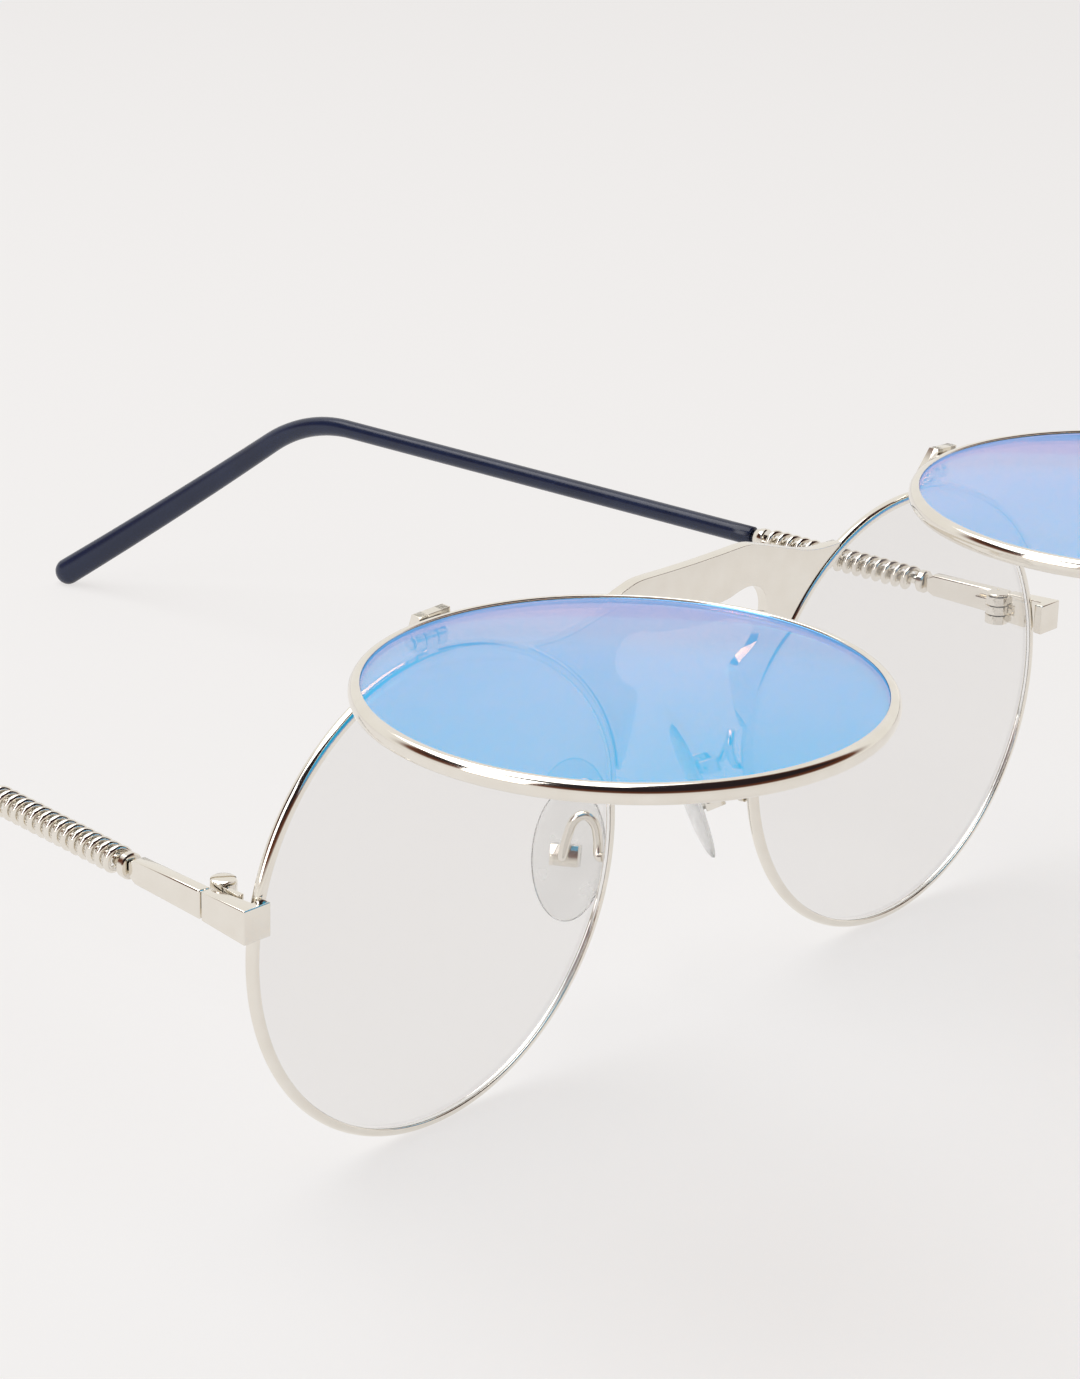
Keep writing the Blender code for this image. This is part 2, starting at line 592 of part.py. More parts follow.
def least_gap(path, wire_radius):
    """The least distance between two turns of the wire, from surface to surface."""
    apart = COIL_POINTS_PER_TURN // 2
    inner = path[1:-1]
    distances = [(a - b).length for place, a in enumerate(inner) for b in inner[place + apart:]]
    return min(distances) - 2 * wire_radius


def sleeve_route():
    """Distance back, height and radius along the sleeve, from the ferrule to its rounded tip."""
    tip = SLEEVE_TIP_RADIUS
    drop = END_HEIGHT + rim_outer - tip - BEND_RADIUS * (1 - math.cos(BEND_ANGLE))
    tail = drop / math.sin(BEND_ANGLE)
    straight = HINGE_TO_BEND - sleeve_start
    arc = BEND_RADIUS * BEND_ANGLE
    total = straight + arc + tail
    stations = [sleeve_start + straight * share for share in (0, 0.25, 0.5, 0.75, 0.95)]
    route = [(back, 0.0) for back in stations]
    for step in range(9):
        turn = BEND_ANGLE * step / 8
        route.append((HINGE_TO_BEND + BEND_RADIUS * math.sin(turn), -BEND_RADIUS * (1 - math.cos(turn))))
    bend_back, bend_height = route[-1]
    for share in (0.15, 0.35, 0.55, 0.75, 0.9):
        step = tail * share
        route.append((bend_back + step * math.cos(BEND_ANGLE), bend_height - step * math.sin(BEND_ANGLE)))
    radii = []
    walked = 0.0
    for place, point in enumerate(route):
        if place:
            walked += math.dist(point, route[place - 1])
        grown = max(0.0, (walked - straight) / (total - straight))
        radii.append(SLEEVE_RADIUS + (tip - SLEEVE_RADIUS) * grown ** 0.8)
    tip_back = bend_back + tail * math.cos(BEND_ANGLE)
    tip_height = bend_height - tail * math.sin(BEND_ANGLE)
    for step in range(TIP_POINTS + 1):
        turn = math.pi / 2 * step / (TIP_POINTS + 0.4)
        ahead = tip * math.sin(turn)
        route.append((tip_back + ahead * math.cos(BEND_ANGLE), tip_height - ahead * math.sin(BEND_ANGLE)))
        radii.append(tip * math.cos(turn))
    return route, radii


def along_temple(side, back, height, end):
    """A point on the middle line of a temple, which curves inwards from the bend to its end."""
    share = max(0.0, (back - HINGE_TO_BEND) / (end - HINGE_TO_BEND))
    return Vector((side * (temple_centre - TIP_INWARD * share ** 2), back, height))


def core_route(sleeve):
    """The core wire from its front collar, through its rear collar, to the far end of the sleeve."""
    soft = FERRULE_ROUNDING
    stations = [(front_ferrule_start, FERRULE_RADIUS - soft), (front_ferrule_start + soft, FERRULE_RADIUS),
                (core_start - soft, FERRULE_RADIUS), (core_start, FERRULE_RADIUS - soft),
                (core_start + STEP_LENGTH, WIRE_RADIUS), (core_end - STEP_LENGTH, WIRE_RADIUS),
                (core_end, FERRULE_RADIUS - soft), (core_end + soft, FERRULE_RADIUS),
                (core_end + 3 * soft, FERRULE_RADIUS), (rear_ferrule_end, REAR_FERRULE_END_RADIUS),
                (rear_ferrule_end + STEP_LENGTH, WIRE_RADIUS)]
    along = sleeve[1:-TIP_POINTS - 1]
    path = [(back, 0.0) for back, radius in stations] + along
    swell = [radius / WIRE_RADIUS for back, radius in stations] + [1.0] * len(along)
    return path, swell


def make_temple(centre, side, name):
    pivot = Matrix.Translation((side * pivot_from_middle, SPLIT_BEHIND_RIM, END_HEIGHT))
    axis = add_empty(f"{name}_temple_axis", centre, pivot @ Matrix.Rotation(side * TEMPLE_CONVERGENCE, 4, "Z"))

    outline = barrel_outline(KNUCKLE_RADIUS, LEAF_THICKNESS, LEAF_LENGTH, side, 1)
    hole = SCREW_RADIUS + RUNNING_GAP
    add_piece(f"{name}_hinge_temple_leaf",
              sheet_mesh(f"{name}_hinge_temple_leaf", drilled(outline, hole), KNUCKLE_HEIGHT), silver, axis)

    butt = -temple_inner * math.tan(TEMPLE_CONVERGENCE)
    shoulder = TEMPLE_PLATE_LENGTH - 2 * TEMPLE_SHOULDER
    low = TEMPLE_PLATE_END / 2
    outline = [(butt, -END_DEPTH_BACK / 2), (shoulder, -low), (TEMPLE_PLATE_LENGTH, TEMPLE_SHOULDER - low),
               (TEMPLE_PLATE_LENGTH, low - TEMPLE_SHOULDER), (shoulder, low), (butt, END_DEPTH_BACK / 2)]
    plate = add_piece(f"{name}_temple_plate", sheet_mesh(f"{name}_temple_plate", [outline], TEMPLE_THICKNESS),
                      silver, axis, Matrix.Translation((side * temple_centre, 0, 0)) @ ACROSS)
    add_bevel(plate, END_EDGE)

    route, radii = sleeve_route()
    path, swell = core_route(route)
    end = route[-1][0]
    path = [along_temple(side, back, height, end) for back, height in path]
    add_piece(f"{name}_temple_core", tube_mesh(f"{name}_temple_core", path, WIRE_RADIUS, swell, fineness=3), silver,
              axis)

    wound = coil_path(side)
    add_piece(f"{name}_temple_coil", tube_mesh(f"{name}_temple_coil", wound, COIL_WIRE_RADIUS, fineness=1), silver,
              axis)
    print(f"{name} coil: least gap between turns {least_gap(wound, COIL_WIRE_RADIUS) / MM:.2f} mm")

    path = [along_temple(side, back, height, end) for back, height in route]
    mesh = tube_mesh(f"{name}_temple_sleeve", path, SLEEVE_RADIUS, [radius / SLEEVE_RADIUS for radius in radii], 3)
    flat_end = HINGE_TO_BEND + BEND_RADIUS
    for vertex in mesh.vertices:
        share = min(1.0, max(0.0, (vertex.co.y - HINGE_TO_BEND) / (flat_end - HINGE_TO_BEND)))
        flat = 1 - share * (1 - SLEEVE_FLATTENING)
        middle = along_temple(side, vertex.co.y, 0, end).x
        vertex.co.x = middle + (vertex.co.x - middle) * flat
    sleeve = add_piece(f"{name}_temple_sleeve", mesh, navy_sleeve, axis)
    inside = [path[0] - Vector((0, CUTTER_OVERRUN, 0)), *path[1:-TIP_POINTS]]
    cut(sleeve, tube_mesh(f"{name}_sleeve_bore_cutter", inside, WIRE_RADIUS + SOLDER_GAP, fineness=3))


def stand_on_origin(centre):
    """Move the whole object so that its origin is the middle of its base."""
    bpy.context.view_layer.update()
    graph = bpy.context.evaluated_depsgraph_get()
    corners = []
    for piece in parts.objects:
        if piece.type == "MESH":
            seen = piece.evaluated_get(graph)
            corners += [seen.matrix_world @ vertex.co for vertex in seen.data.vertices]
    low = Vector([min(corner[way] for corner in corners) for way in range(3)])
    high = Vector([max(corner[way] for corner in corners) for way in range(3)])
    centre.location = (-(low.x + high.x) / 2, -(low.y + high.y) / 2, -low.z)
    bpy.context.view_layer.update()


front_centre = add_empty("front_centre", None, Matrix.Identity(4))
make_front(front_centre)
stand_on_origin(front_centre)
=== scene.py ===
"""Looks for the round flip-up spectacles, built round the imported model.

The glasses stand open on a pale table with both blue lenses raised.
Everything is in metres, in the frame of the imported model.
"""
import json
import math

import bmesh
import bpy
from mathutils import Matrix, Vector


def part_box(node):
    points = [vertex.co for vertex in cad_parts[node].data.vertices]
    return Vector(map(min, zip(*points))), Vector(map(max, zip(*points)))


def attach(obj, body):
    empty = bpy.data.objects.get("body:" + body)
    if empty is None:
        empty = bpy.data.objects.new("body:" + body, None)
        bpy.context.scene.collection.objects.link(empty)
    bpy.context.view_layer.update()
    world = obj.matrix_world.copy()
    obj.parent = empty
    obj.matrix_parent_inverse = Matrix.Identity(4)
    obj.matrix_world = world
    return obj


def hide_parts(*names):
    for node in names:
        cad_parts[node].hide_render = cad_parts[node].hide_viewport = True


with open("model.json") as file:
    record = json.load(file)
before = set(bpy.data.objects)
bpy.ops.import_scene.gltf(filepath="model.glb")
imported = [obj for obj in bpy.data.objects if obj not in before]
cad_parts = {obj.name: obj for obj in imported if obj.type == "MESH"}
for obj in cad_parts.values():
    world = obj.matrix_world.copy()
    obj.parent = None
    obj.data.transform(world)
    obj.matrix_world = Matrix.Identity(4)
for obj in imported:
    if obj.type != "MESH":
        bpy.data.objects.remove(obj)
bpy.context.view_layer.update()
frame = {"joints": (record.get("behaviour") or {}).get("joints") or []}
MM = 0.001
SIDES = (("left", -1), ("right", 1))
joints = {joint["name"]: joint for joint in frame["joints"]}

# Camera: a long lens from the wearer's right, a little above the front.
# Its place is measured from the point midway between the centres of the two rims.
rim_low, rim_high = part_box("left_rim")
FRONT_PLANE = (rim_low.y + rim_high.y) / 2
RIM_CENTRE_HEIGHT = (rim_low.z + rim_high.z) / 2
RIM_CENTRE = abs(rim_low.x + rim_high.x) / 2
CAMERA_FROM_RIMS = Vector((-261.684, -222.332, 139.604)) * MM
CAMERA_TURN = [math.radians(angle) for angle in (69.444, -1.2635, -46.724)]
camera_data = bpy.data.cameras.new("product camera")
camera_data.lens = 121.29
camera_data.sensor_width = 36.0
camera_data.sensor_fit = "HORIZONTAL"
camera_data.clip_start = 10 * MM
camera = bpy.data.objects.new("product camera", camera_data)
camera.location = Vector((0, FRONT_PLANE, RIM_CENTRE_HEIGHT)) + CAMERA_FROM_RIMS
camera.rotation_euler = CAMERA_TURN
bpy.context.scene.collection.objects.link(camera)
bpy.context.scene.camera = camera
bpy.context.scene.view_settings.view_transform = "Standard"


# Rims: four rings of thin nickel-silver bar, rolled to a circle and grooved inside for the lens.
# They are polished all over, so they mirror the room with only slight waves from the buffing wheel.
RIM_INNER, RIM_OUTER, RIM_DEPTH = 23.7 * MM, 24.6 * MM, 1.4 * MM
SUN_RIM_INNER, SUN_RIM_OUTER, SUN_RIM_DEPTH = 23.0 * MM, 24.05 * MM, 1.9 * MM
SUN_LENS_STANDOFF = 3.3 * MM
RIM_CORNER = 0.14 * MM
RIM_CORNER_STEPS = 5
RIM_BOW = 0.72 * MM
SUN_RIM_BOW = 0.8 * MM
RIM_BOW_STEPS = 24
RIM_STEPS = 192
GROOVE_HALF_WIDTH = 0.53 * MM
GROOVE_DEPTH = 0.06 * MM
SUN_GROOVE_DEPTH = 0.16 * MM
BUFFING_WAVES = 2.5 * MM
BUFFING_WAVE_HEIGHT = 0.006 * MM
FINE_SCRATCHES = 0.06 * MM
SAME_POINT = 0.001 * MM


def srgb(code):
    """An sRGB hex colour as the linear colour that a shader takes."""
    channels = [int(code[place:place + 2], 16) / 255 for place in (0, 2, 4)]
    return (*[c / 12.92 if c <= 0.04045 else ((c + 0.055) / 1.055) ** 2.4 for c in channels], 1.0)


def add_node(material, kind, links=(), **settings):
    """One node with its settings by input name, and its links as (its input, node, output)."""
    node = material.node_tree.nodes.new(kind)
    for name, value in settings.items():
        if hasattr(node, name):
            setattr(node, name, value)
        else:
            node.inputs[name.replace("_", " ")].default_value = value
    for entry, source, output in links:
        material.node_tree.links.new(source.outputs[output], node.inputs[entry])
    return node


def new_material(name):
    """A material with an empty node tree, and the node that gives its coordinates."""
    material = bpy.data.materials.new(name)
    material.use_nodes = True
    material.node_tree.nodes.clear()
    return material, add_node(material, "ShaderNodeTexCoord")


def finish_material(material, shader):
    """Send the finished shader to the surface of the material."""
    add_node(material, "ShaderNodeOutputMaterial", [("Surface", shader, 0)])


# Polished nickel silver: a warm white metal, mirror bright, with faint buffing waves and hairlines.
# The hairlines left by the buff are finer than the render can show, so they are drawn coarser.
polished_metal, coords = new_material("polished nickel silver")
waves = add_node(polished_metal, "ShaderNodeTexNoise", [("Vector", coords, "Object")],
                 Scale=1 / BUFFING_WAVES, Detail=2.0)
hairlines = add_node(polished_metal, "ShaderNodeTexNoise", [("Vector", coords, "Object")],
                     Scale=1 / FINE_SCRATCHES, Detail=3.0)
haze = add_node(polished_metal, "ShaderNodeMapRange", [("Value", hairlines, 0)],
                From_Min=0.35, From_Max=0.75, To_Min=0.07, To_Max=0.16)
tone = add_node(polished_metal, "ShaderNodeValToRGB", [("Fac", waves, 0)])
tone.color_ramp.elements[0].color = srgb("E8E2D7")
tone.color_ramp.elements[1].color = srgb("F1EDE5")
buffed = add_node(polished_metal, "ShaderNodeBump", [("Height", waves, 0)],
                  Strength=0.35, Distance=BUFFING_WAVE_HEIGHT)
metal_links = [("Base Color", tone, 0), ("Roughness", haze, 0), ("Normal", buffed, 0)]
metal_shader = add_node(polished_metal, "ShaderNodeBsdfPrincipled", metal_links, Metallic=1.0)
finish_material(polished_metal, metal_shader)


def shaped(name, bm, material, body, nodes, angle=40, matrix=None):
    """The finished piece: its place in its mesh, its faces outwards, riding on its body."""
    bmesh.ops.remove_doubles(bm, verts=bm.verts, dist=SAME_POINT)
    bmesh.ops.recalc_face_normals(bm, faces=bm.faces)
    mesh = bpy.data.meshes.new(name)
    bm.to_mesh(mesh)
    bm.free()
    if matrix is not None:
        mesh.transform(matrix)
    mesh.materials.append(material)
    mesh.shade_smooth()
    mesh.set_sharp_from_angle(angle=math.radians(angle))
    piece = bpy.data.objects.new(name, mesh)
    bpy.context.scene.collection.objects.link(piece)
    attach(piece, body)
    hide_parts(*nodes)


def spun(profile, steps, closed=True):
    """A profile of radius and height, spun a full turn about Z."""
    bm = bmesh.new()
    corners = [bm.verts.new((radius, 0, height)) for radius, height in profile]
    links = list(zip(corners, corners[1:]))
    if closed:
        links.append((corners[-1], corners[0]))
    edges = [bm.edges.new(link) for link in links]
    bmesh.ops.spin(bm, geom=corners + edges, cent=(0, 0, 0), axis=(0, 0, 1), dvec=(0, 0, 0),
                   angle=math.tau, steps=steps, use_merge=True, use_duplicate=False)
    return bm


def ring_profile(inner, outer, depth, bow, groove):
    """A bar with a bowed outer side and, inside, two softened corners and a groove for the lens."""
    top = depth / 2
    turns = [math.pi * step / RIM_BOW_STEPS - math.pi / 2 for step in range(RIM_BOW_STEPS + 1)]
    outside = [(outer - bow + bow * math.cos(turn), top * math.sin(turn)) for turn in turns]
    turns = [math.pi / 2 * step / RIM_CORNER_STEPS for step in range(RIM_CORNER_STEPS + 1)]
    upper = [(inner + RIM_CORNER * (1 - math.sin(turn)), top - RIM_CORNER * (1 - math.cos(turn)))
             for turn in turns]
    lower = [(radius, -height) for radius, height in reversed(upper)]
    groove_walls = [(inner, GROOVE_HALF_WIDTH), (inner + groove, GROOVE_HALF_WIDTH / 2),
                    (inner + groove, -GROOVE_HALF_WIDTH / 2), (inner, -GROOVE_HALF_WIDTH)]
    return outside + upper + groove_walls + lower


front_seat = {side: Matrix.Translation((side * RIM_CENTRE, FRONT_PLANE, RIM_CENTRE_HEIGHT))
              @ Matrix.Rotation(math.pi / 2, 4, "X") for _, side in SIDES}
sun_seat = {}
for name, side in SIDES:
    flip = joints[f"{name}_flip"]
    pivot = Matrix.Translation(flip["pos_m"])
    raising = Matrix.Rotation(-math.radians(flip["range_deg"][1]), 4, Vector(flip["axis"]))
    swing = pivot @ raising @ pivot.inverted()
    sun_seat[side] = swing @ Matrix.Translation((0, -SUN_LENS_STANDOFF, 0)) @ front_seat[side]
    profile = ring_profile(RIM_INNER, RIM_OUTER, RIM_DEPTH, RIM_BOW, GROOVE_DEPTH)
    shaped(f"{name}_front_ring", spun(profile, RIM_STEPS), polished_metal, "front_frame",
           [f"{name}_rim"], matrix=front_seat[side])
    profile = ring_profile(SUN_RIM_INNER, SUN_RIM_OUTER, SUN_RIM_DEPTH, SUN_RIM_BOW, SUN_GROOVE_DEPTH)
    shaped(f"{name}_sun_ring", spun(profile, RIM_STEPS), polished_metal, f"{name}_flip",
           [f"{name}_sun_rim"], matrix=sun_seat[side])


# Lenses: thin curved discs of cast resin, with a bevelled edge that sits in the groove of the rim.
# The inner pair is clear and hard coated; the outer pair is tinted brown and mirror coated blue.
LENS_THICKNESS = 1.0 * MM
SUN_LENS_THICKNESS = 1.0 * MM
LENS_BULGE = 0.9 * MM
LENS_LIP = 0.02 * MM
SUN_LENS_LIP = 0.12 * MM
SUN_LENS_LIFT = 0.3 * MM
LENS_GAP = 0.04 * MM
LENS_EDGE = 0.25 * MM
LENS_RINGS = 14
LENS_STEPS = 128
SMUDGES = 9 * MM
COATING_CLOUDS = 25 * MM
CLOUD_SHARE = 0.1


def lens_profile(opening, thickness, lip, lift=0.0):
    """Half a lens from its middle to its edge and back; lift raises the edge of its front."""
    shoulder = opening - LENS_GAP / 2
    shares = [step / LENS_RINGS for step in range(LENS_RINGS + 1)]
    front = [(shoulder * share, thickness / 2 + lift + (LENS_BULGE - lift) * (1 - share ** 2))
             for share in shares]
    back = [(shoulder * share, LENS_BULGE * (1 - share ** 2) - thickness / 2) for share in shares]
    edge = opening + lip
    return front + [(edge, LENS_EDGE), (edge, -LENS_EDGE)] + back[::-1]


# Cast clear resin, hard coated: nearly colourless, glossy, and a trace duller where it is smudged.
clear_resin, coords = new_material("cast clear resin, hard coated")
smudges = add_node(clear_resin, "ShaderNodeTexNoise", [("Vector", coords, "Object")],
                   Scale=1 / SMUDGES, Detail=2.0)
clarity = add_node(clear_resin, "ShaderNodeMapRange", [("Value", smudges, 0)], To_Min=0.0, To_Max=0.03)
clear_shader = add_node(clear_resin, "ShaderNodeBsdfPrincipled", [("Roughness", clarity, 0)],
                        Base_Color=srgb("F3F2F1"), Transmission_Weight=1.0, IOR=1.5)
finish_material(clear_resin, clear_shader)

# Brown resin under vacuum-coated layers: it mirrors blue, paler at a slant, and lets warm light through.
blue_resin, coords = new_material("brown resin, blue mirror coated")
cloud = add_node(blue_resin, "ShaderNodeTexNoise", [("Vector", coords, "Object")],
                 Scale=1 / COATING_CLOUDS, Detail=1.0)
tilt = add_node(blue_resin, "ShaderNodeLayerWeight", Blend=0.5)
shifted = add_node(blue_resin, "ShaderNodeMath", [(0, cloud, 0), (2, tilt, "Facing")],
                   operation="MULTIPLY_ADD")
shifted.inputs[1].default_value = CLOUD_SHARE
film = add_node(blue_resin, "ShaderNodeValToRGB", [("Fac", shifted, 0)])
film.color_ramp.elements[0].color = srgb("24AEEA")
film.color_ramp.elements[0].position = 0.64
film.color_ramp.elements[1].color = srgb("C2CCF2")
film.color_ramp.elements[1].position = 0.84
gloss = add_node(blue_resin, "ShaderNodeMapRange", [("Value", cloud, 0)], To_Min=0.0, To_Max=0.04)
blue_mirror = add_node(blue_resin, "ShaderNodeBsdfPrincipled",
                       [("Base Color", film, 0), ("Roughness", gloss, 0)],
                       Metallic=1.0, Specular_Tint=srgb("A8C8F4"))
warm_tint = add_node(blue_resin, "ShaderNodeBsdfRefraction", Color=srgb("CBAB84"), IOR=1.5)
blue_shader = add_node(blue_resin, "ShaderNodeAddShader", [(0, blue_mirror, 0), (1, warm_tint, 0)])
finish_material(blue_resin, blue_shader)

for name, side in SIDES:
    profile = lens_profile(RIM_INNER, LENS_THICKNESS, LENS_LIP)
    shaped(f"{name}_front_lens", spun(profile, LENS_STEPS, closed=False), clear_resin, "front_frame",
           [f"{name}_clear_lens"], 50, front_seat[side])
    profile = lens_profile(SUN_RIM_INNER, SUN_LENS_THICKNESS, SUN_LENS_LIP, SUN_LENS_LIFT)
    shaped(f"{name}_mirror_lens", spun(profile, LENS_STEPS, closed=False), blue_resin, f"{name}_flip",
           [f"{name}_sun_lens"], 50, sun_seat[side])


# Bridge: a plate sawn from thick nickel-silver sheet, arched over the nose and soldered to both rims.
# Its edges are broken and the whole is buffed with the rims, so its face and edges mirror softly.
# Its top and opening are drawn as shares of the way to a rim's centre and of the rim's outer radius.
PLATE_THICKNESS = 1.3 * MM
PLATE_EDGE = 0.12 * MM
PLATE_GAP = 0.2 * MM
PLATE_TOP = [(0.0, 1.012), (0.12, 1.014), (0.228, 1.016), (0.285, 1.0), (0.342, 0.975), (0.44, 0.933),
             (0.5, 0.909), (0.57, 0.893)]
PLATE_OPENING = [(0.271, 0.192), (0.248, 0.314), (0.231, 0.425), (0.228, 0.492), (0.246, 0.538),
                 (0.295, 0.597), (0.325, 0.663), (0.33, 0.724), (0.318, 0.774), (0.29, 0.815),
                 (0.245, 0.832), (0.2, 0.825), (0.142, 0.807), (0.0, 0.795)]
PLATE_TOP_END = 0.889
PLATE_LEG_END = 0.10
PLATE_HUG_STEPS = 48
PLATE_CURVE_STEPS = 6
STRAIGHT_ANGLE = math.radians(0.5)
EDGE_ANGLE = math.radians(50)


def through(points, steps):
    """Points along a rounded curve that passes through every given point."""
    padded = [points[0], *points, points[-1]]
    smooth = []
    for before, first, second, after in zip(padded, padded[1:], padded[2:], padded[3:]):
        for step in range(steps):
            share = step / steps
            smooth.append(Vector([
                0.5 * (2 * b + (c - a) * share + (2 * a - 5 * b + 4 * c - d) * share ** 2
                       + (3 * b - a - 3 * c + d) * share ** 3)
                for a, b, c, d in zip(before, first, second, after)]))
    return smooth + [Vector(points[-1])]


def plate_outline():
    """The whole outline: top, side that hugs the rim, leg and nose opening, then mirrored."""
    hug = RIM_OUTER + PLATE_GAP
    high = math.asin(PLATE_TOP_END * RIM_OUTER / hug)
    low = math.asin(PLATE_LEG_END * RIM_OUTER / hug)
    turns = [high + (low - high) * step / PLATE_HUG_STEPS for step in range(PLATE_HUG_STEPS + 1)]
    arc = [(RIM_CENTRE - hug * math.cos(turn), hug * math.sin(turn)) for turn in turns]
    top = [(x * RIM_CENTRE, y * RIM_OUTER) for x, y in PLATE_TOP]
    top = through([*top, arc[0]], PLATE_CURVE_STEPS)
    opening = [(x * RIM_CENTRE, y * RIM_OUTER) for x, y in PLATE_OPENING]
    opening = through([arc[-1], *opening], PLATE_CURVE_STEPS)
    half = [tuple(point) for point in top[:-1]] + arc + [tuple(point) for point in opening[1:]]
    return half + [(-x, y) for x, y in half[-2:0:-1]]


def drawn(curve):
    """The shape that a curve draws, as a bmesh."""
    holder = bpy.data.objects.new(curve.name, curve)
    bpy.context.scene.collection.objects.link(holder)
    seen = holder.evaluated_get(bpy.context.evaluated_depsgraph_get())
    mesh = bpy.data.meshes.new_from_object(seen)
    bm = bmesh.new()
    bm.from_mesh(mesh)
    bpy.data.objects.remove(holder)
    bpy.data.meshes.remove(mesh)
    return bm


def cut_sheet(outlines, thickness, edge, edge_steps=3):
    """A flat outline, with any holes, as a plate with softened edges about its drawing plane."""
    curve = bpy.data.curves.new("outline", "CURVE")
    curve.dimensions = "2D"
    curve.fill_mode = "BOTH"
    curve.extrude = thickness / 2
    for outline in outlines:
        spline = curve.splines.new("POLY")
        spline.points.add(len(outline) - 1)
        for point, (x, y) in zip(spline.points, outline):
            point.co = (x, y, 0, 1)
        spline.use_cyclic_u = True
    bm = drawn(curve)
    bmesh.ops.remove_doubles(bm, verts=bm.verts, dist=SAME_POINT)
    bmesh.ops.dissolve_limit(bm, angle_limit=STRAIGHT_ANGLE, verts=bm.verts, edges=bm.edges)
    bmesh.ops.recalc_face_normals(bm, faces=bm.faces)
    sharp = [e for e in bm.edges if len(e.link_faces) == 2 and e.calc_face_angle() > EDGE_ANGLE]
    bmesh.ops.bevel(bm, geom=sharp, offset=edge, offset_type="OFFSET", affect="EDGES",
                    segments=edge_steps, profile=0.5, material=-1, clamp_overlap=True)
    return bm


front_upright = (Matrix.Translation((0, FRONT_PLANE, RIM_CENTRE_HEIGHT))
                 @ Matrix.Rotation(math.pi / 2, 4, "X"))
shaped("nose_bridge_plate", cut_sheet([plate_outline()], PLATE_THICKNESS, PLATE_EDGE), polished_metal,
       "front_frame", ["bridge_plate"], 60, front_upright)


# End pieces: short bars bent square at the outer side of each rim and soldered to it.
# The front lip covers the edge of the rim, and the long arm carries the hinge.
END_HEIGHT = 5.0 * MM
END_EDGE = 0.16 * MM
END_LIP = 1.1 * MM
END_TAPER = 0.6 * MM
END_DEPTH_FRONT = 3.4 * MM
END_DEPTH_BACK = 2.9 * MM
ARM_THICKNESS = 1.4 * MM
SOLDER_GAP = 0.2 * MM
for name, side in SIDES:
    low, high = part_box(f"{name}_end_piece")
    outer, inner = (low.x, high.x) if side < 0 else (high.x, low.x)
    lip_front, split = low.y, high.y
    lip_back = lip_front + END_LIP
    arm_outer = outer - side * END_TAPER
    arm_inner = arm_outer - side * ARM_THICKNESS
    lip_inner = side * (RIM_CENTRE + RIM_OUTER + SOLDER_GAP)
    outline = [(inner, lip_front), (outer, lip_front), (arm_outer, split), (arm_inner, split),
               (lip_inner, FRONT_PLANE + RIM_DEPTH / 2 + SOLDER_GAP), (lip_inner, lip_back),
               (inner, lip_back)]
    bm = cut_sheet([outline], END_DEPTH_FRONT, END_EDGE, edge_steps=4)
    for vertex in bm.verts:
        share = (vertex.co.y - lip_front) / (split - lip_front)
        vertex.co.z *= 1 - share * (1 - END_DEPTH_BACK / END_DEPTH_FRONT)
    shaped(f"{name}_corner", bm, polished_metal, "front_frame", [f"{name}_end_piece"], 60,
           Matrix.Translation((0, 0, RIM_CENTRE_HEIGHT + END_HEIGHT)))


# Temple hinges: three-barrel hinges drilled for one slotted steel screw.
# Two barrels belong to the leaf on the front and the middle one to the leaf on the temple.
BARREL_RADIUS = 1.3 * MM
BARREL_HEIGHT = 0.95 * MM
BARREL_GAP = 0.15 * MM
BARREL_EDGE = 0.08 * MM
BARREL_STEPS = 40
BORE_STEPS = 32
LEAF_THICKNESS = 0.7 * MM
LEAF_LENGTH = 3.4 * MM
WEB_GAP = 0.25 * MM
SCREW_RADIUS = 0.55 * MM
SCREW_STEPS = 48
HEAD_RADIUS = 1.2 * MM
HEAD_HEIGHT = 0.27 * MM
HEAD_FLAT, HEAD_SHOULDER = 0.6, 0.88
HEAD_SHOULDER_DROP = 0.05 * MM
HEAD_EDGE_DROP = 0.14 * MM
SLOT_WIDTH = 0.3 * MM
SLOT_DEPTH = 0.14 * MM
SLOT_FACES_WITHIN = 0.1 * MM
INSIDE_SLOT = 0.98
CUT_TOLERANCE = 1e-7
SLOT_TURN_DEGREES = 35
TEMPLE_TURN = math.radians(4.0)


def circle(radius, steps, start=0.0, sweep=math.tau, closed=True):
    """Points round a circle, or along an arc with both of its ends."""
    count = steps if closed else steps - 1
    turns = [start + sweep * step / count for step in range(steps)]
    return [(radius * math.cos(turn), radius * math.sin(turn)) for turn in turns]


def barrel_outline(side, along):
    """A round barrel that runs out into its flat leaf."""
    start = math.asin((BARREL_RADIUS - LEAF_THICKNESS) / BARREL_RADIUS)
    arc = circle(BARREL_RADIUS, BARREL_STEPS, math.pi / 2 - start, math.pi + 2 * start, closed=False)
    outline = [(BARREL_RADIUS, LEAF_LENGTH), (BARREL_RADIUS - LEAF_THICKNESS, LEAF_LENGTH), *arc]
    return [(side * x, along * y) for x, y in outline]


def join_into(target, source, matrix):
    """Move a second shape into place and add its faces to the first."""
    mesh = bpy.data.meshes.new("joining")
    bmesh.ops.transform(source, matrix=matrix, verts=source.verts)
    source.to_mesh(mesh)
    source.free()
    target.from_mesh(mesh)
    bpy.data.meshes.remove(mesh)


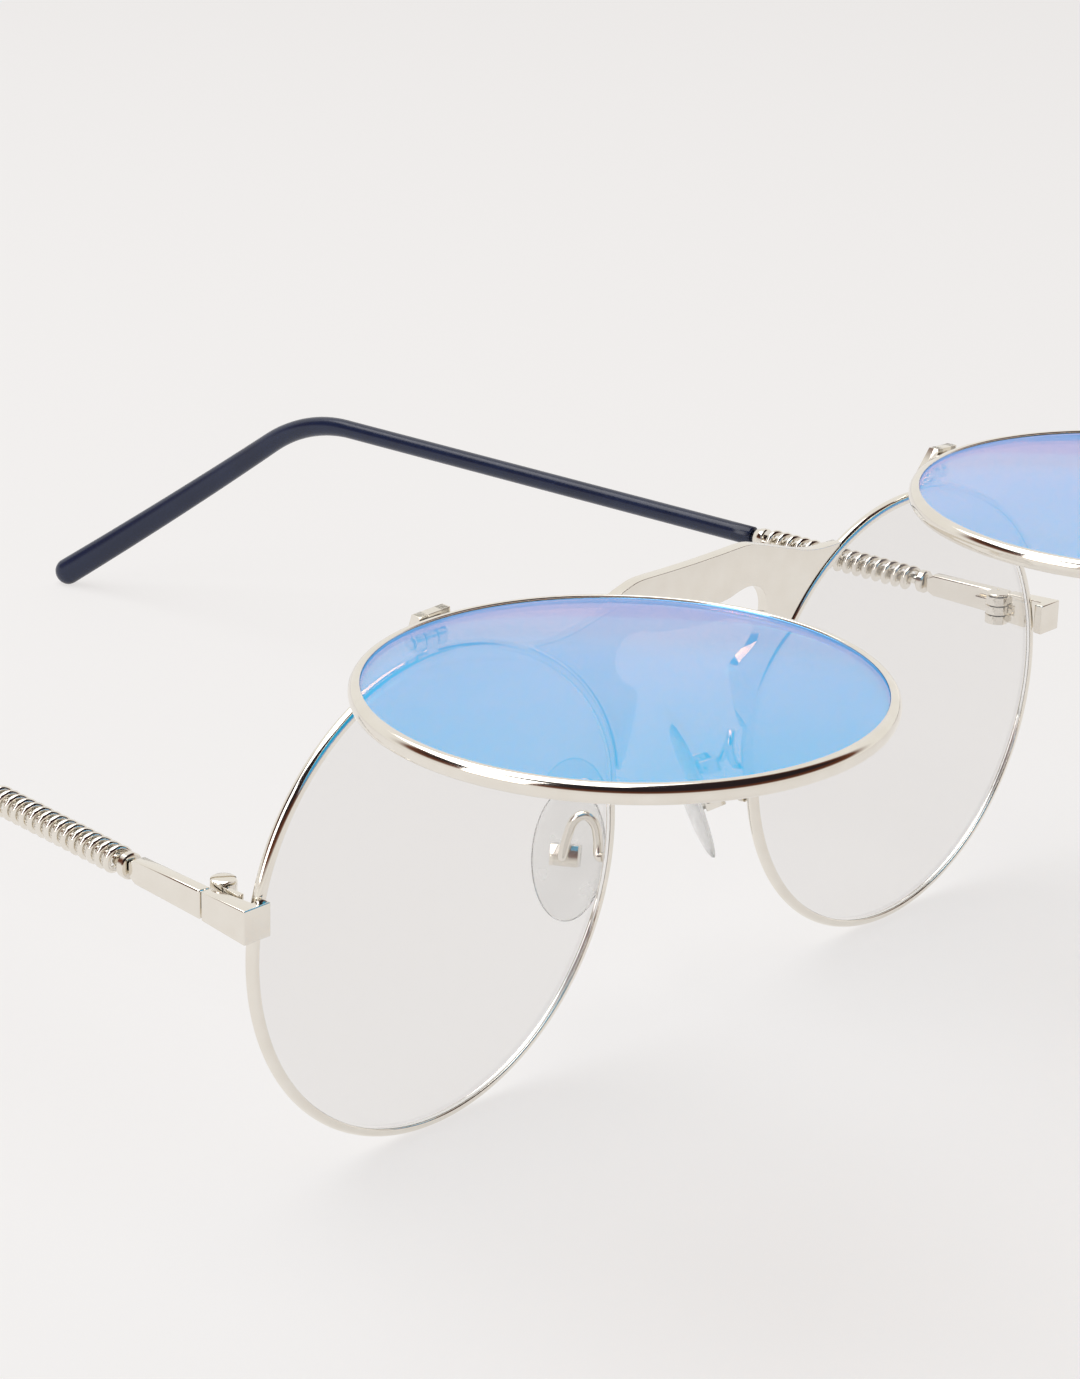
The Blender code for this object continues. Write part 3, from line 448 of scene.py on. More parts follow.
def knuckle_stack(side, along, heights):
    """Barrels at the given heights, each with its piece of flat leaf."""
    stack = bmesh.new()
    for height in heights:
        outlines = [barrel_outline(side, along), circle(SCREW_RADIUS + BARREL_GAP, BORE_STEPS)]
        barrel = cut_sheet(outlines, BARREL_HEIGHT, BARREL_EDGE, edge_steps=2)
        join_into(stack, barrel, Matrix.Translation((0, 0, height)))
    return stack


temple_seat = {}
barrel_step = BARREL_HEIGHT + BARREL_GAP
web_start, web_end = -BARREL_RADIUS - WEB_GAP, -LEAF_LENGTH
web_size = (LEAF_THICKNESS, web_start - web_end, BARREL_HEIGHT + 2 * BARREL_GAP)
screw_foot = -1.5 * BARREL_HEIGHT - BARREL_GAP
head_foot = -screw_foot + BARREL_GAP
head_top = head_foot + HEAD_HEIGHT
screw_profile = [(0, head_top), (HEAD_RADIUS * HEAD_FLAT, head_top),
                 (HEAD_RADIUS * HEAD_SHOULDER, head_top - HEAD_SHOULDER_DROP),
                 (HEAD_RADIUS, head_top - HEAD_EDGE_DROP), (HEAD_RADIUS, head_foot),
                 (SCREW_RADIUS, head_foot), (SCREW_RADIUS, screw_foot), (0, screw_foot)]
for name, side in SIDES:
    pivot = Matrix.Translation(joints[f"{name}_temple_fold"]["pos_m"])
    temple_seat[side] = pivot @ Matrix.Rotation(side * TEMPLE_TURN, 4, "Z")
    leaf = knuckle_stack(side, -1, (barrel_step, -barrel_step))
    web = bmesh.new()
    bmesh.ops.create_cube(web, size=1.0)
    bmesh.ops.scale(web, vec=web_size, verts=web.verts)
    join_into(leaf, web, Matrix.Translation((side * (BARREL_RADIUS - LEAF_THICKNESS / 2),
                                             (web_start + web_end) / 2, 0)))
    shaped(f"{name}_front_hinge_leaf", leaf, polished_metal, "front_frame",
           [f"{name}_hinge_front_leaf"], 40, pivot)
    shaped(f"{name}_temple_hinge_leaf", knuckle_stack(side, 1, (0.0,)), polished_metal, f"{name}_temple",
           [f"{name}_hinge_temple_leaf"], 40, temple_seat[side])
    screw = spun(screw_profile, SCREW_STEPS, closed=False)
    for way in (-1, 1):
        edge = way * SLOT_WIDTH / 2
        bmesh.ops.bisect_plane(screw, geom=screw.verts[:] + screw.edges[:] + screw.faces[:],
                               dist=CUT_TOLERANCE, plane_co=(0, edge, 0), plane_no=(0, 1, 0))
    bmesh.ops.remove_doubles(screw, verts=screw.verts, dist=SAME_POINT)
    slot_faces = [face for face in screw.faces
                  if face.calc_center_median().z > head_top - SLOT_FACES_WITHIN
                  and abs(face.calc_center_median().y) < SLOT_WIDTH / 2 * INSIDE_SLOT]
    sunk = bmesh.ops.extrude_face_region(screw, geom=slot_faces)["geom"]
    bmesh.ops.translate(screw, vec=(0, 0, -SLOT_DEPTH),
                        verts=[element for element in sunk if isinstance(element, bmesh.types.BMVert)])
    bmesh.ops.delete(screw, geom=slot_faces, context="FACES")
    shaped(f"{name}_slotted_screw", screw, polished_metal, "front_frame", [f"{name}_hinge_screw"],
           35, pivot @ Matrix.Rotation(math.radians(SLOT_TURN_DEGREES * side), 4, "Z"))


# Temple plates: flat bars behind the hinge, tapered in height, with a shoulder where the wire leaves.
# They are milled, then buffed, so the broad outer side shows one long clean reflection.
PLATE_BAR = 1.4 * MM
BAR_INNER = 1.5 * MM
BAR_LENGTH = 10.6 * MM
BAR_END = 2.5 * MM
BAR_START_HEIGHT = 2.9 * MM
BAR_SHOULDER = 0.5 * MM
BAR_EDGE = 0.24 * MM
temple_middle = BAR_INNER + PLATE_BAR / 2
# A drawing turned side on has its x running back, its y up and its thickness across.
side_on = Matrix(((0, 0, 1, 0), (1, 0, 0, 0), (0, 1, 0, 0), (0, 0, 0, 1)))
butt = -BAR_INNER * math.tan(TEMPLE_TURN)
low = BAR_END / 2
bar_outline = [(butt, -BAR_START_HEIGHT / 2), (BAR_LENGTH - 2 * BAR_SHOULDER, -low),
               (BAR_LENGTH, BAR_SHOULDER - low), (BAR_LENGTH, low - BAR_SHOULDER),
               (BAR_LENGTH - 2 * BAR_SHOULDER, low), (butt, BAR_START_HEIGHT / 2)]
for name, side in SIDES:
    bar = cut_sheet([bar_outline], PLATE_BAR, BAR_EDGE, edge_steps=4)
    shaped(f"{name}_temple_bar", bar, polished_metal, f"{name}_temple", [f"{name}_temple_plate"],
           60, temple_seat[side] @ Matrix.Translation((side * temple_middle, 0, 0)) @ side_on)


# Cores: drawn spring wire with a turned collar at each end of the coil, running on inside the sleeve.
# Coils: fine round wire wound openly round the core, bright like the rest, which lets the temple flex.
COLLAR_RADIUS = 1.3 * MM
COLLAR_GAP = 0.2 * MM
COLLAR_START = BAR_LENGTH + COLLAR_GAP
FRONT_COLLAR_LENGTH = 0.9 * MM
CORE_START = COLLAR_START + FRONT_COLLAR_LENGTH
COIL_LENGTH = 21.0 * MM
COIL_PLAY = 0.4 * MM
CORE_END = CORE_START + COIL_LENGTH + COIL_PLAY
REAR_COLLAR_LENGTH = 1.8 * MM
COLLAR_END = CORE_END + REAR_COLLAR_LENGTH
COLLAR_END_RADIUS = 0.95 * MM
COLLAR_END_CHAMFER = 0.1 * MM
COLLAR_FACE = 0.9
COLLAR_CHAMFER = 0.15 * MM
COLLAR_CROWN_END = 0.55 * MM
COLLAR_SHOULDER = 0.96
COLLAR_SHOULDER_PLACE = 0.8 * MM
CORE_RADIUS = 0.55 * MM
CORE_IN_SLEEVE = 14 * MM
CORE_STEPS = 48
COIL_WIRE = 0.36 * MM
COIL_CLEARANCE = 0.22 * MM
COIL_RADIUS = CORE_RADIUS + COIL_CLEARANCE + COIL_WIRE
COIL_END_GAP = 0.2 * MM
COIL_TURNS = 14.5
COIL_POINTS = 32


def wire(path, radius, swell=None, fineness=5):
    """A round wire along a path, closed at both ends, as a bmesh; swell gives shares of its radius."""
    curve = bpy.data.curves.new("wire", "CURVE")
    curve.dimensions = "3D"
    curve.bevel_depth = radius
    curve.bevel_resolution = fineness
    curve.use_fill_caps = True
    spline = curve.splines.new("POLY")
    spline.points.add(len(path) - 1)
    for place, point in enumerate(path):
        spline.points[place].co = (*point, 1)
        spline.points[place].radius = swell[place] if swell else 1.0
    return drawn(curve)


face_radius = COLLAR_RADIUS * COLLAR_FACE
collar_profile = [(0, CORE_END + CORE_IN_SLEEVE), (CORE_RADIUS, CORE_END + CORE_IN_SLEEVE),
                  (CORE_RADIUS, COLLAR_END), (COLLAR_END_RADIUS * COLLAR_FACE, COLLAR_END),
                  (COLLAR_END_RADIUS, COLLAR_END - COLLAR_END_CHAMFER),
                  (COLLAR_RADIUS * COLLAR_SHOULDER, CORE_END + COLLAR_SHOULDER_PLACE),
                  (COLLAR_RADIUS, CORE_END + COLLAR_CROWN_END),
                  (COLLAR_RADIUS, CORE_END + COLLAR_CHAMFER), (face_radius, CORE_END),
                  (CORE_RADIUS, CORE_END), (CORE_RADIUS, CORE_START), (face_radius, CORE_START),
                  (COLLAR_RADIUS, CORE_START - COLLAR_CHAMFER),
                  (COLLAR_RADIUS, COLLAR_START + COLLAR_CHAMFER), (face_radius, COLLAR_START),
                  (0, COLLAR_START)]
coil_start = CORE_START + COIL_END_GAP + 2 * COIL_WIRE
coil_run = COIL_LENGTH - 4 * COIL_WIRE
count = round(COIL_TURNS * COIL_POINTS)
end_run = Vector((0, 2 * COIL_WIRE, 0))
for name, side in SIDES:
    lengthwise = (temple_seat[side] @ Matrix.Translation((side * temple_middle, 0, 0))
                  @ Matrix.Rotation(-math.pi / 2, 4, "X"))
    shaped(f"{name}_core_and_collars", spun(collar_profile, CORE_STEPS, closed=False), polished_metal,
           f"{name}_temple", [f"{name}_temple_core"], 35, lengthwise)
    helix = []
    for step in range(count + 1):
        turn = math.tau * step / COIL_POINTS
        helix.append(Vector((side * temple_middle + COIL_RADIUS * math.cos(turn),
                             coil_start + coil_run * step / count, COIL_RADIUS * math.sin(turn))))
    coil = wire([helix[0] - end_run, *helix, helix[-1] + end_run], COIL_WIRE)
    shaped(f"{name}_wound_coil", coil, polished_metal, f"{name}_temple", [f"{name}_temple_coil"],
           50, temple_seat[side])


# Sleeves: navy acetate tubes drawn over the core, bent down behind the ear and flattened at the tip.
# Towards the tip they swell and curve inwards a little, and the end is rounded off.
SLEEVE_RADIUS = 1.15 * MM
SLEEVE_TIP = 1.8 * MM
SLEEVE_SWELL = 0.8
SLEEVE_FLAT = 0.74
SLEEVE_GAP = 0.2 * MM
SLEEVE_START = COLLAR_END + SLEEVE_GAP
SLEEVE_CHAMFER = 0.12 * MM
SLEEVE_FINENESS = 7
HINGE_TO_BEND = 100.0 * MM
BEND_RADIUS = 22.0 * MM
BEND_ANGLE = math.radians(36.5)
TIP_INWARD = 8.5 * MM
RUN_STEPS = 24
TAIL_STEPS = 16
END_STEPS = 11
END_STEPS_TO_POLE = 11.3
ACETATE_STREAKS = 6 * MM
ACETATE_WEAR = 0.5 * MM
ACETATE_WEAR_HEIGHT = 0.01 * MM

# Acetate is polished by tumbling, so it is glossy and almost black, with a faint blue depth.
acetate, coords = new_material("tumbled navy acetate")
streaks = add_node(acetate, "ShaderNodeTexNoise", [("Vector", coords, "Object")],
                   Scale=1 / ACETATE_STREAKS, Detail=3.0)
depth = add_node(acetate, "ShaderNodeValToRGB", [("Fac", streaks, 0)])
depth.color_ramp.elements[0].color = srgb("131B34")
depth.color_ramp.elements[1].color = srgb("1D2947")
wear = add_node(acetate, "ShaderNodeTexNoise", [("Vector", coords, "Object")],
                Scale=1 / ACETATE_WEAR, Detail=4.0)
polish = add_node(acetate, "ShaderNodeMapRange", [("Value", wear, 0)], To_Min=0.16, To_Max=0.30)
acetate_bump = add_node(acetate, "ShaderNodeBump", [("Height", wear, 0)],
                        Strength=0.2, Distance=ACETATE_WEAR_HEIGHT)
acetate_links = [("Base Color", depth, 0), ("Roughness", polish, 0), ("Normal", acetate_bump, 0)]
acetate_shader = add_node(acetate, "ShaderNodeBsdfPrincipled", acetate_links, IOR=1.48)
finish_material(acetate, acetate_shader)

drop = END_HEIGHT + RIM_OUTER - SLEEVE_TIP - BEND_RADIUS * (1 - math.cos(BEND_ANGLE))
tail = drop / math.sin(BEND_ANGLE)
straight = HINGE_TO_BEND - SLEEVE_START
total = straight + BEND_RADIUS * BEND_ANGLE + tail


def inward(back, end):
    """How far the middle line has curved towards the other temple, at a distance back from the hinge."""
    return TIP_INWARD * max(0.0, (back - HINGE_TO_BEND) / (end - HINGE_TO_BEND)) ** 2


# The route gives, for each point, how far back and how high it is, and the length walked along it.
route = [(SLEEVE_START, 0.0, 0.0), (SLEEVE_START + SLEEVE_CHAMFER, 0.0, SLEEVE_CHAMFER)]
for step in range(1, RUN_STEPS):
    route.append((SLEEVE_START + straight * step / RUN_STEPS, 0.0, straight * step / RUN_STEPS))
for step in range(RUN_STEPS + 1):
    turn = BEND_ANGLE * step / RUN_STEPS
    route.append((HINGE_TO_BEND + BEND_RADIUS * math.sin(turn), -BEND_RADIUS * (1 - math.cos(turn)),
                  straight + BEND_RADIUS * turn))
bend_back, bend_height, walked = route[-1]
for step in range(1, TAIL_STEPS + 1):
    ahead = tail * step / TAIL_STEPS
    route.append((bend_back + ahead * math.cos(BEND_ANGLE), bend_height - ahead * math.sin(BEND_ANGLE),
                  walked + ahead))
swell = []
for back, height, gone in route:
    share = max(0.0, (gone - straight) / (total - straight)) ** SLEEVE_SWELL
    swell.append(SLEEVE_RADIUS + (SLEEVE_TIP - SLEEVE_RADIUS) * share)
swell[0] = SLEEVE_RADIUS - SLEEVE_CHAMFER
tip_back, tip_height, walked = route[-1]
for step in range(1, END_STEPS + 1):
    turn = math.pi / 2 * step / END_STEPS_TO_POLE
    ahead = SLEEVE_TIP * math.sin(turn)
    route.append((tip_back + ahead * math.cos(BEND_ANGLE), tip_height - ahead * math.sin(BEND_ANGLE),
                  walked))
    swell.append(SLEEVE_TIP * math.cos(turn))
sleeve_end = route[-1][0]
for name, side in SIDES:
    path = [Vector((-side * inward(back, sleeve_end), back, height)) for back, height, _ in route]
    bm = wire(path, SLEEVE_RADIUS, [radius / SLEEVE_RADIUS for radius in swell], SLEEVE_FINENESS)
    for vertex in bm.verts:
        share = min(1.0, max(0.0, (vertex.co.y - HINGE_TO_BEND) / BEND_RADIUS))
        middle = -side * inward(vertex.co.y, sleeve_end)
        vertex.co.x = middle + (vertex.co.x - middle) * (1 - share * (1 - SLEEVE_FLAT))
    shaped(f"{name}_acetate_sleeve", bm, acetate, f"{name}_temple", [f"{name}_temple_sleeve"],
           60, temple_seat[side] @ Matrix.Translation((side * temple_middle, 0, 0)))


# Flip hinges: a drilled knuckle on the rim, a forked leaf on the sun lens, and a headed pin through both.
# All three are small buffed pieces of the same metal, tight enough to hold the lens where it is put.
FLIP_KNUCKLE = 0.95 * MM
FLIP_PIN = 0.42 * MM
FLIP_PIN_CLEARANCE = 0.15 * MM
FLIP_PIN_REACH = 0.15 * MM
FLIP_PIN_STEPS = 40
FLIP_HEAD = 0.62 * MM
FLIP_HEAD_LENGTH = 0.2 * MM
FLIP_HEAD_FLAT = 0.8
FLIP_HEAD_CHAMFER = 0.07 * MM
FLIP_BASE = 1.3 * MM
FLIP_WIDTH = 3.7 * MM
FLIP_SHEET = 0.85 * MM
FLIP_FOOT = 0.75 * MM
FLIP_FORWARD = 0.64 * MM
FLIP_OUTBOARD = 2.9 * MM
FLIP_RISE = 1.34 * MM
FLIP_CREST = 1.1 * MM
FLIP_NECK = 0.53
FLIP_SOLDER = 0.2 * MM
FLIP_SIDE_PLAY = 0.3 * MM
FLIP_BLOCK_GAP = 0.2 * MM
FLIP_EDGE = 0.1 * MM
FLIP_BLOCK_EDGE = 0.06 * MM

bore = FLIP_PIN + FLIP_PIN_CLEARANCE
rim_top = math.sqrt(RIM_OUTER ** 2 - FLIP_OUTBOARD ** 2)
to_rim = RIM_OUTER + FLIP_RISE - rim_top - FLIP_SOLDER
corner = math.asin(FLIP_FOOT / FLIP_KNUCKLE)
arc = circle(FLIP_KNUCKLE, BARREL_STEPS, corner - math.pi / 2, 2 * (math.pi - corner), closed=False)
knuckle_outline = [(-FLIP_FOOT, -to_rim), (FLIP_FOOT, -to_rim), *arc]

half_pin = FLIP_WIDTH / 2 + FLIP_PIN_REACH
pin_end = half_pin + FLIP_HEAD_LENGTH
pin_profile = [(0, pin_end), (FLIP_HEAD * FLIP_HEAD_FLAT, pin_end),
               (FLIP_HEAD, pin_end - FLIP_HEAD_CHAMFER), (FLIP_HEAD, half_pin), (FLIP_PIN, half_pin)]
pin_profile += [(radius, -height) for radius, height in reversed(pin_profile)]

leg_foot = RIM_OUTER + FLIP_RISE - SUN_RIM_OUTER - FLIP_SOLDER
leg_back = FLIP_FORWARD - SUN_LENS_STANDOFF + FLIP_SHEET
leg_front = leg_back - 2 * FLIP_SHEET
crest = FLIP_CREST - leg_foot
under = -FLIP_NECK * FLIP_KNUCKLE
neck = math.asin(FLIP_NECK)
arc = circle(FLIP_KNUCKLE, BARREL_STEPS, math.pi + neck, math.pi * 1.5 - neck, closed=False)
leg_outline = [(leg_front, crest), (leg_front, -leg_foot), (leg_back, -leg_foot), (leg_back, under)]
cheek_outline = [*leg_outline, *arc]
cheek_width = (FLIP_WIDTH - FLIP_BASE - FLIP_SIDE_PLAY) / 2
block_back = -FLIP_KNUCKLE - FLIP_BLOCK_GAP
block_top = FLIP_KNUCKLE + (crest - FLIP_KNUCKLE) * block_back / leg_front
block_outline = [*leg_outline, (block_back, under), (block_back, block_top)]
for name, side in SIDES:
    flip = joints[f"{name}_flip"]
    along = Vector(flip["axis"])
    up = Vector((0, 0, 1))
    up = (up - up.dot(along) * along).normalized()
    back = up.cross(along)
    closed = Matrix.Translation(flip["pos_m"]) @ Matrix((along, back, up)).transposed().to_4x4()
    raised = closed @ Matrix.Rotation(-math.radians(flip["range_deg"][1]), 4, "X")
    knuckle = cut_sheet([knuckle_outline, circle(bore, BORE_STEPS)], FLIP_BASE, FLIP_EDGE, edge_steps=2)
    shaped(f"{name}_flip_knuckle", knuckle, polished_metal, "front_frame",
           [f"{name}_lens_hinge_base"], 40, closed @ side_on)
    shaped(f"{name}_flip_pin", spun(pin_profile, FLIP_PIN_STEPS, closed=False), polished_metal,
           "front_frame", [f"{name}_lens_hinge_pin"], 35, closed @ side_on)
    fork = bmesh.new()
    for way in (-1, 1):
        cheek = cut_sheet([cheek_outline, circle(bore, BORE_STEPS)], cheek_width, FLIP_EDGE, edge_steps=2)
        join_into(fork, cheek, Matrix.Translation((0, 0, way * (FLIP_WIDTH - cheek_width) / 2)))
    block = cut_sheet([block_outline], FLIP_WIDTH - FLIP_BLOCK_GAP, FLIP_BLOCK_EDGE, edge_steps=2)
    join_into(fork, block, Matrix.Identity(4))
    shaped(f"{name}_flip_fork", fork, polished_metal, f"{name}_flip", [f"{name}_sun_lens_leaf"],
           40, raised @ side_on)


# Nose pads: oval silicone cushions moulded round a small stub, held by a screw in a folded metal box.
# The silicone is clear and slightly milky, with a soft shine; the wire arm and box are bright metal.
# The wire's path is given as shares of the size of its loop: away from the nose, back and up.
PAD_SIZE = Vector((2.0, 7.6, 13.8)) * MM
PAD_BACK = 0.35
PAD_FACING = (0.80, 0.50, -0.33)
STUB_LENGTH = 1.7 * MM
STUB_WIDTH = 1.5 * MM
STUB_HEIGHT = 2.2 * MM
STUB_SHORTER = 0.1 * MM
STUB_EDGE = 0.2 * MM
BOX_WALL = 0.5 * MM
BOX_BACK_PLAY = 0.4 * MM
BOX_SIDE_PLAY = 0.2 * MM
BOX_EDGE = 0.09 * MM
PAD_SCREW = 0.35 * MM
PAD_SCREW_CHAMFER = 0.07 * MM
ARM_RADIUS = 0.5 * MM
ARM_BELOW = 3.8 * MM
ARM_SOLDER = 0.2 * MM
ARM_STRAIGHT_END = 0.7 * MM
ARM_LOOP = 5.0 * MM
ARM_SHARES = ((0.0, 0.0, 0.0), (0.0, 0.15, 0.0), (-0.06, 0.23, 0.28), (-0.03, 0.3, 0.62),
              (0.14, 0.42, 0.83), (0.31, 0.55, 0.72), (0.36, 0.68, 0.33))
ARM_CURVE_STEPS = 8
SILICONE_CLOUDS = 3 * MM

# Moulded clear silicone: light passes through it, softened by a faint milky cloud and a dull sheen.
silicone, coords = new_material("moulded clear silicone")
milk = add_node(silicone, "ShaderNodeTexNoise", [("Vector", coords, "Object")],
                Scale=1 / SILICONE_CLOUDS, Detail=3.0)
soft_colour = add_node(silicone, "ShaderNodeValToRGB", [("Fac", milk, 0)])
soft_colour.color_ramp.elements[0].color = srgb("F4F4F3")
soft_colour.color_ramp.elements[1].color = srgb("FCFCFB")
soft_shine = add_node(silicone, "ShaderNodeMapRange", [("Value", milk, 0)], To_Min=0.18, To_Max=0.32)
silicone_shader = add_node(silicone, "ShaderNodeBsdfPrincipled",
                           [("Base Color", soft_colour, 0), ("Roughness", soft_shine, 0)],
                           Transmission_Weight=0.93, IOR=1.41)
finish_material(silicone, silicone_shader)

pad_back = PAD_BACK * PAD_SIZE.x / 2
pin_depth = pad_back + STUB_LENGTH / 2
box_back = -pad_back - STUB_LENGTH - BOX_BACK_PLAY
box_front = -pad_back - BOX_BACK_PLAY
box_inner = STUB_WIDTH / 2 + BOX_SIDE_PLAY
box_outer = box_inner + BOX_WALL
box_outline = [(box_front, -box_outer), (box_front, -box_inner), (box_back, -box_inner),
               (box_back, box_inner), (box_front, box_inner), (box_front, box_outer),
               (box_back - BOX_WALL, box_outer), (box_back - BOX_WALL, -box_outer)]
bar_middle = (RIM_OUTER + RIM_INNER) / 2
across, behind, rise = PAD_FACING
for name, side in SIDES:
    rock = joints[f"{name}_pad_rock"]
    facing = Vector((-side * across, behind, rise)).normalized()
    up = Vector((0, 0, 1))
    up = (up - up.dot(facing) * facing).normalized()
    seat = Matrix.Translation(Vector(rock["pos_m"]) + pin_depth * facing) @ Matrix(
        (facing, up.cross(facing), up)).transposed().to_4x4()
    pad = bmesh.new()
    bmesh.ops.create_uvsphere(pad, u_segments=64, v_segments=40, radius=0.5)
    bmesh.ops.scale(pad, vec=PAD_SIZE, verts=pad.verts)
    for vertex in pad.verts:
        if vertex.co.x < 0:
            vertex.co.x *= PAD_BACK
    shaped(f"{name}_silicone_pad", pad, silicone, f"{name}_pad", [f"{name}_nose_pad"], 70,
           seat)
    stub = bmesh.new()
    bmesh.ops.create_cube(stub, size=1.0)
    bmesh.ops.scale(stub, vec=(STUB_LENGTH - STUB_SHORTER, STUB_WIDTH, STUB_HEIGHT), verts=stub.verts)
    bmesh.ops.translate(stub, vec=(-pad_back - STUB_LENGTH / 2, 0, 0), verts=stub.verts)
    bmesh.ops.bevel(stub, geom=stub.edges[:], offset=STUB_EDGE, affect="EDGES", segments=3, profile=0.5,
                    material=-1)
    shaped(f"{name}_pad_stub", stub, silicone, f"{name}_pad", [f"{name}_nose_pad"], 50, seat)
    box = cut_sheet([box_outline], STUB_HEIGHT, BOX_EDGE, edge_steps=2)
    shaped(f"{name}_pad_bracket", box, polished_metal, "front_frame", [f"{name}_pad_box"], 40,
           seat)
    shank = bmesh.new()
    bmesh.ops.create_cone(shank, cap_ends=True, segments=24, radius1=PAD_SCREW, radius2=PAD_SCREW,
                          depth=2 * box_outer)
    cap_edges = [edge for edge in shank.edges if any(len(face.verts) > 4 for face in edge.link_faces)]
    bmesh.ops.bevel(shank, geom=cap_edges, offset=PAD_SCREW_CHAMFER, affect="EDGES", segments=2,
                    profile=0.5, material=-1)
    shaped(f"{name}_bracket_screw", shank, polished_metal, "front_frame", [f"{name}_pad_screw"],
           40,
           seat @ Matrix.Translation((-pin_depth, 0, 0)) @ Matrix.Rotation(math.pi / 2, 4, "X"))
    start = Vector((side * (RIM_CENTRE - math.sqrt(bar_middle ** 2 - ARM_BELOW ** 2)),
                    FRONT_PLANE + RIM_DEPTH / 2 + ARM_SOLDER, RIM_CENTRE_HEIGHT - ARM_BELOW))
    loop = [start + ARM_LOOP * Vector((side * away, back, lift)) for away, back, lift in ARM_SHARES]
    arrive = seat @ Vector((box_back - BOX_WALL - ARM_STRAIGHT_END, 0, 0))
    end = seat @ Vector((box_back - BOX_WALL - ARM_SOLDER, 0, 0))
    arm = wire(through([*loop, arrive, end], ARM_CURVE_STEPS), ARM_RADIUS)
    shaped(f"{name}_pad_wire", arm, polished_metal, "front_frame", [f"{name}_pad_arm"], 50)


# Studio: a pale table that is also the backdrop, a large soft lamp overhead and a smaller one on the left.
# The table keeps its own colour for the camera and for what shines through glass, plus a soft shadow.
FLOOR_SIZE = 12.0
PAINT_GRAIN = 1.2 * MM
OWN_COLOUR = 0.78
floor_mesh = bpy.data.meshes.new("table_top")
bm = bmesh.new()
bmesh.ops.create_grid(bm, x_segments=1, y_segments=1, size=FLOOR_SIZE / 2)
bm.to_mesh(floor_mesh)
bm.free()
table_top = bpy.data.objects.new("table_top", floor_mesh)
bpy.context.scene.collection.objects.link(table_top)

# Matt white paint: an even pale surface with hardly any shine, and a grain too faint to notice.
table_paint, coords = new_material("matt white table")
rays = add_node(table_paint, "ShaderNodeLightPath")
fibres = add_node(table_paint, "ShaderNodeTexNoise", [("Vector", coords, "Object")],
                  Scale=1 / PAINT_GRAIN, Detail=4.0)
white = add_node(table_paint, "ShaderNodeValToRGB", [("Fac", fibres, 0)])
white.color_ramp.elements[0].color = srgb("EDEFF1")
white.color_ramp.elements[1].color = srgb("F0F2F4")
matt = add_node(table_paint, "ShaderNodeBsdfPrincipled", [("Base Color", white, 0)], Roughness=0.8)
glow = add_node(table_paint, "ShaderNodeEmission", Color=srgb("F5F2F0"), Strength=1.0)
seen_through = add_node(table_paint, "ShaderNodeMath",
                        [(0, rays, "Is Camera Ray"), (1, rays, "Is Transmission Ray")],
                        operation="MAXIMUM")
seen = add_node(table_paint, "ShaderNodeMath", [(0, seen_through, 0), (1, rays, "Is Glossy Ray")],
                operation="MAXIMUM")
share = add_node(table_paint, "ShaderNodeMath", [(0, seen, 0)], operation="MULTIPLY")
share.inputs[1].default_value = OWN_COLOUR
mixed = add_node(table_paint, "ShaderNodeMixShader", [(0, share, 0), (1, matt, 0), (2, glow, 0)])
finish_material(table_paint, mixed)
floor_mesh.materials.append(table_paint)

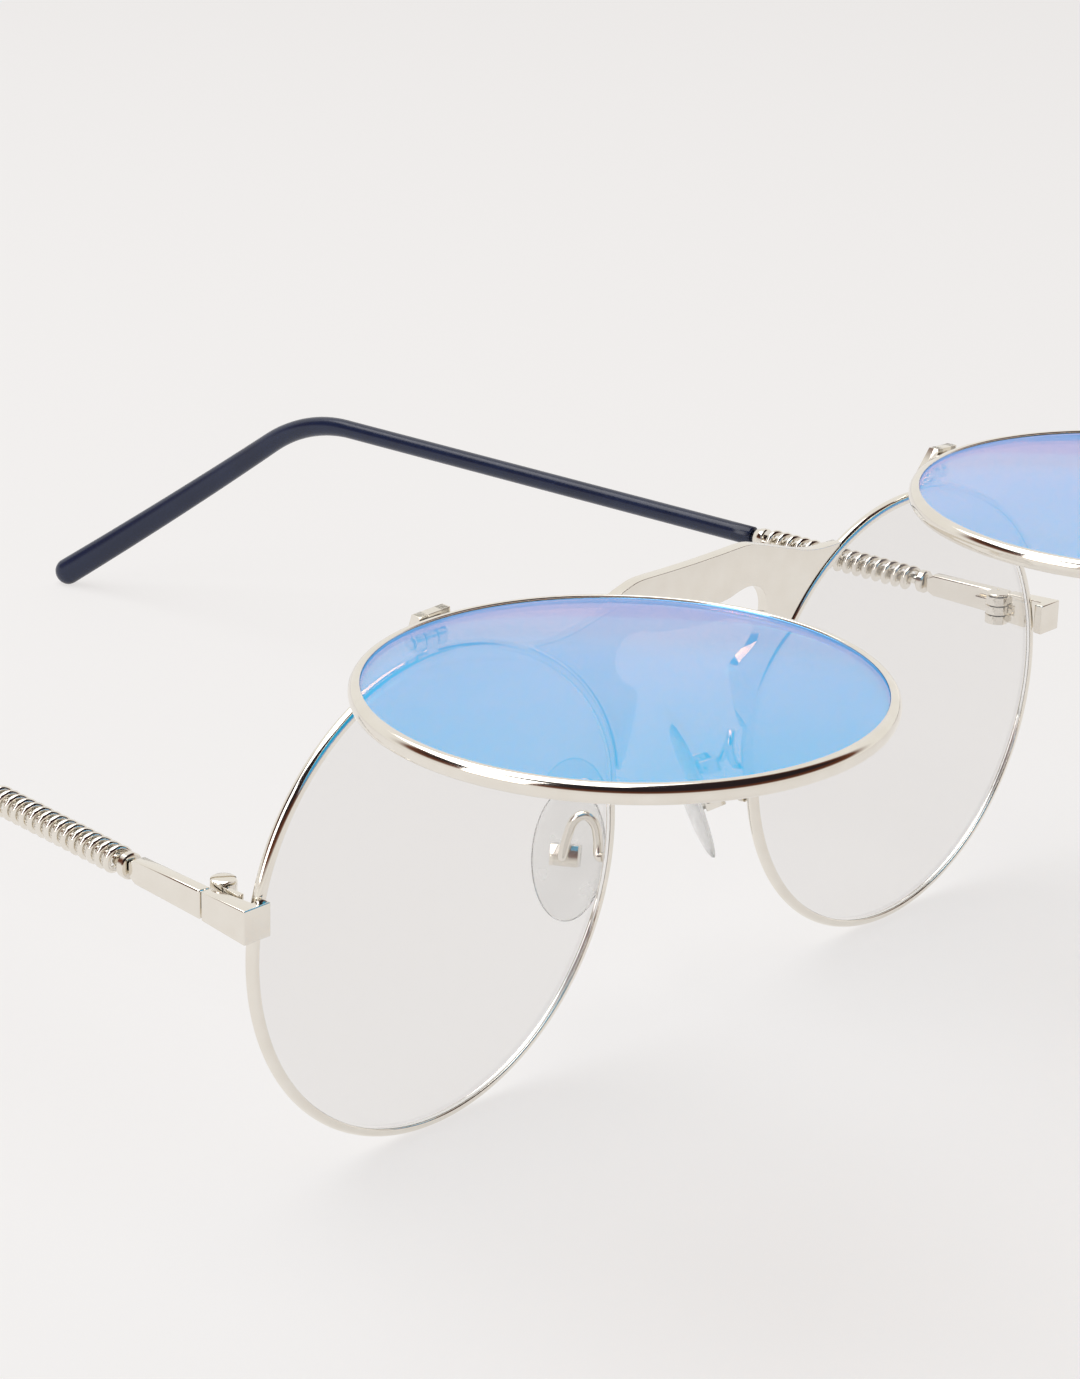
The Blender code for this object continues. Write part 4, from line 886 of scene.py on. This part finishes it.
# The room: pale walls all round, and a dark brown ceiling over the camera that the bowed edges mirror.
CAMERA_SIDE = Vector((-0.68, -0.73, 0.0))
world = bpy.data.worlds.new("soft studio")
world.use_nodes = True
world.node_tree.nodes.clear()
direction = add_node(world, "ShaderNodeTexCoord")
towards = add_node(world, "ShaderNodeVectorMath", [(0, direction, "Generated")],
                   operation="DOT_PRODUCT")
towards.inputs[1].default_value = CAMERA_SIDE
near_side = add_node(world, "ShaderNodeMapRange", [("Value", towards, "Value")],
                     interpolation_type="SMOOTHSTEP", From_Min=-0.45, From_Max=-0.1)
height = add_node(world, "ShaderNodeSeparateXYZ", [("Vector", direction, "Generated")])
above = add_node(world, "ShaderNodeMapRange", [("Value", height, "Z")], From_Min=0.08, From_Max=0.55)
ceiling = add_node(world, "ShaderNodeMath", [(0, near_side, 0), (1, above, 0)], operation="MULTIPLY")
walls = add_node(world, "ShaderNodeValToRGB", [("Fac", ceiling, 0)])
walls.color_ramp.elements[0].color = srgb("F4F2EE")
walls.color_ramp.elements[1].color = srgb("2A2224")
brown = walls.color_ramp.elements.new(0.35)
brown.color = srgb("6B3D26")
room_rays = add_node(world, "ShaderNodeLightPath")
mirrored = add_node(world, "ShaderNodeMath",
                    [(0, room_rays, "Is Camera Ray"), (1, room_rays, "Is Glossy Ray")],
                    operation="MAXIMUM")
level = add_node(world, "ShaderNodeMapRange", [("Value", mirrored, 0)], To_Min=0.75, To_Max=1.0)
room = add_node(world, "ShaderNodeBackground", [("Color", walls, 0), ("Strength", level, 0)])
add_node(world, "ShaderNodeOutputWorld", [("Surface", room, 0)])
bpy.context.scene.world = world

LAMPS_AIM_AT = Vector((0, 0, 0.02))


def add_softbox(name, place, size, watts):
    """A rectangular lamp that faces the glasses."""
    data = bpy.data.lights.new(name, "AREA")
    data.shape = "RECTANGLE"
    data.size, data.size_y = size
    data.energy = watts
    lamp = bpy.data.objects.new(name, data)
    lamp.location = place
    lamp.rotation_euler = (LAMPS_AIM_AT - Vector(place)).to_track_quat("-Z", "Y").to_euler()
    bpy.context.scene.collection.objects.link(lamp)


add_softbox("overhead softbox", place=(-0.15, 0.25, 0.9), size=(0.9, 0.9), watts=7.0)
add_softbox("left softbox", place=(-0.9, 0.1, 0.5), size=(0.5, 0.7), watts=3.0)
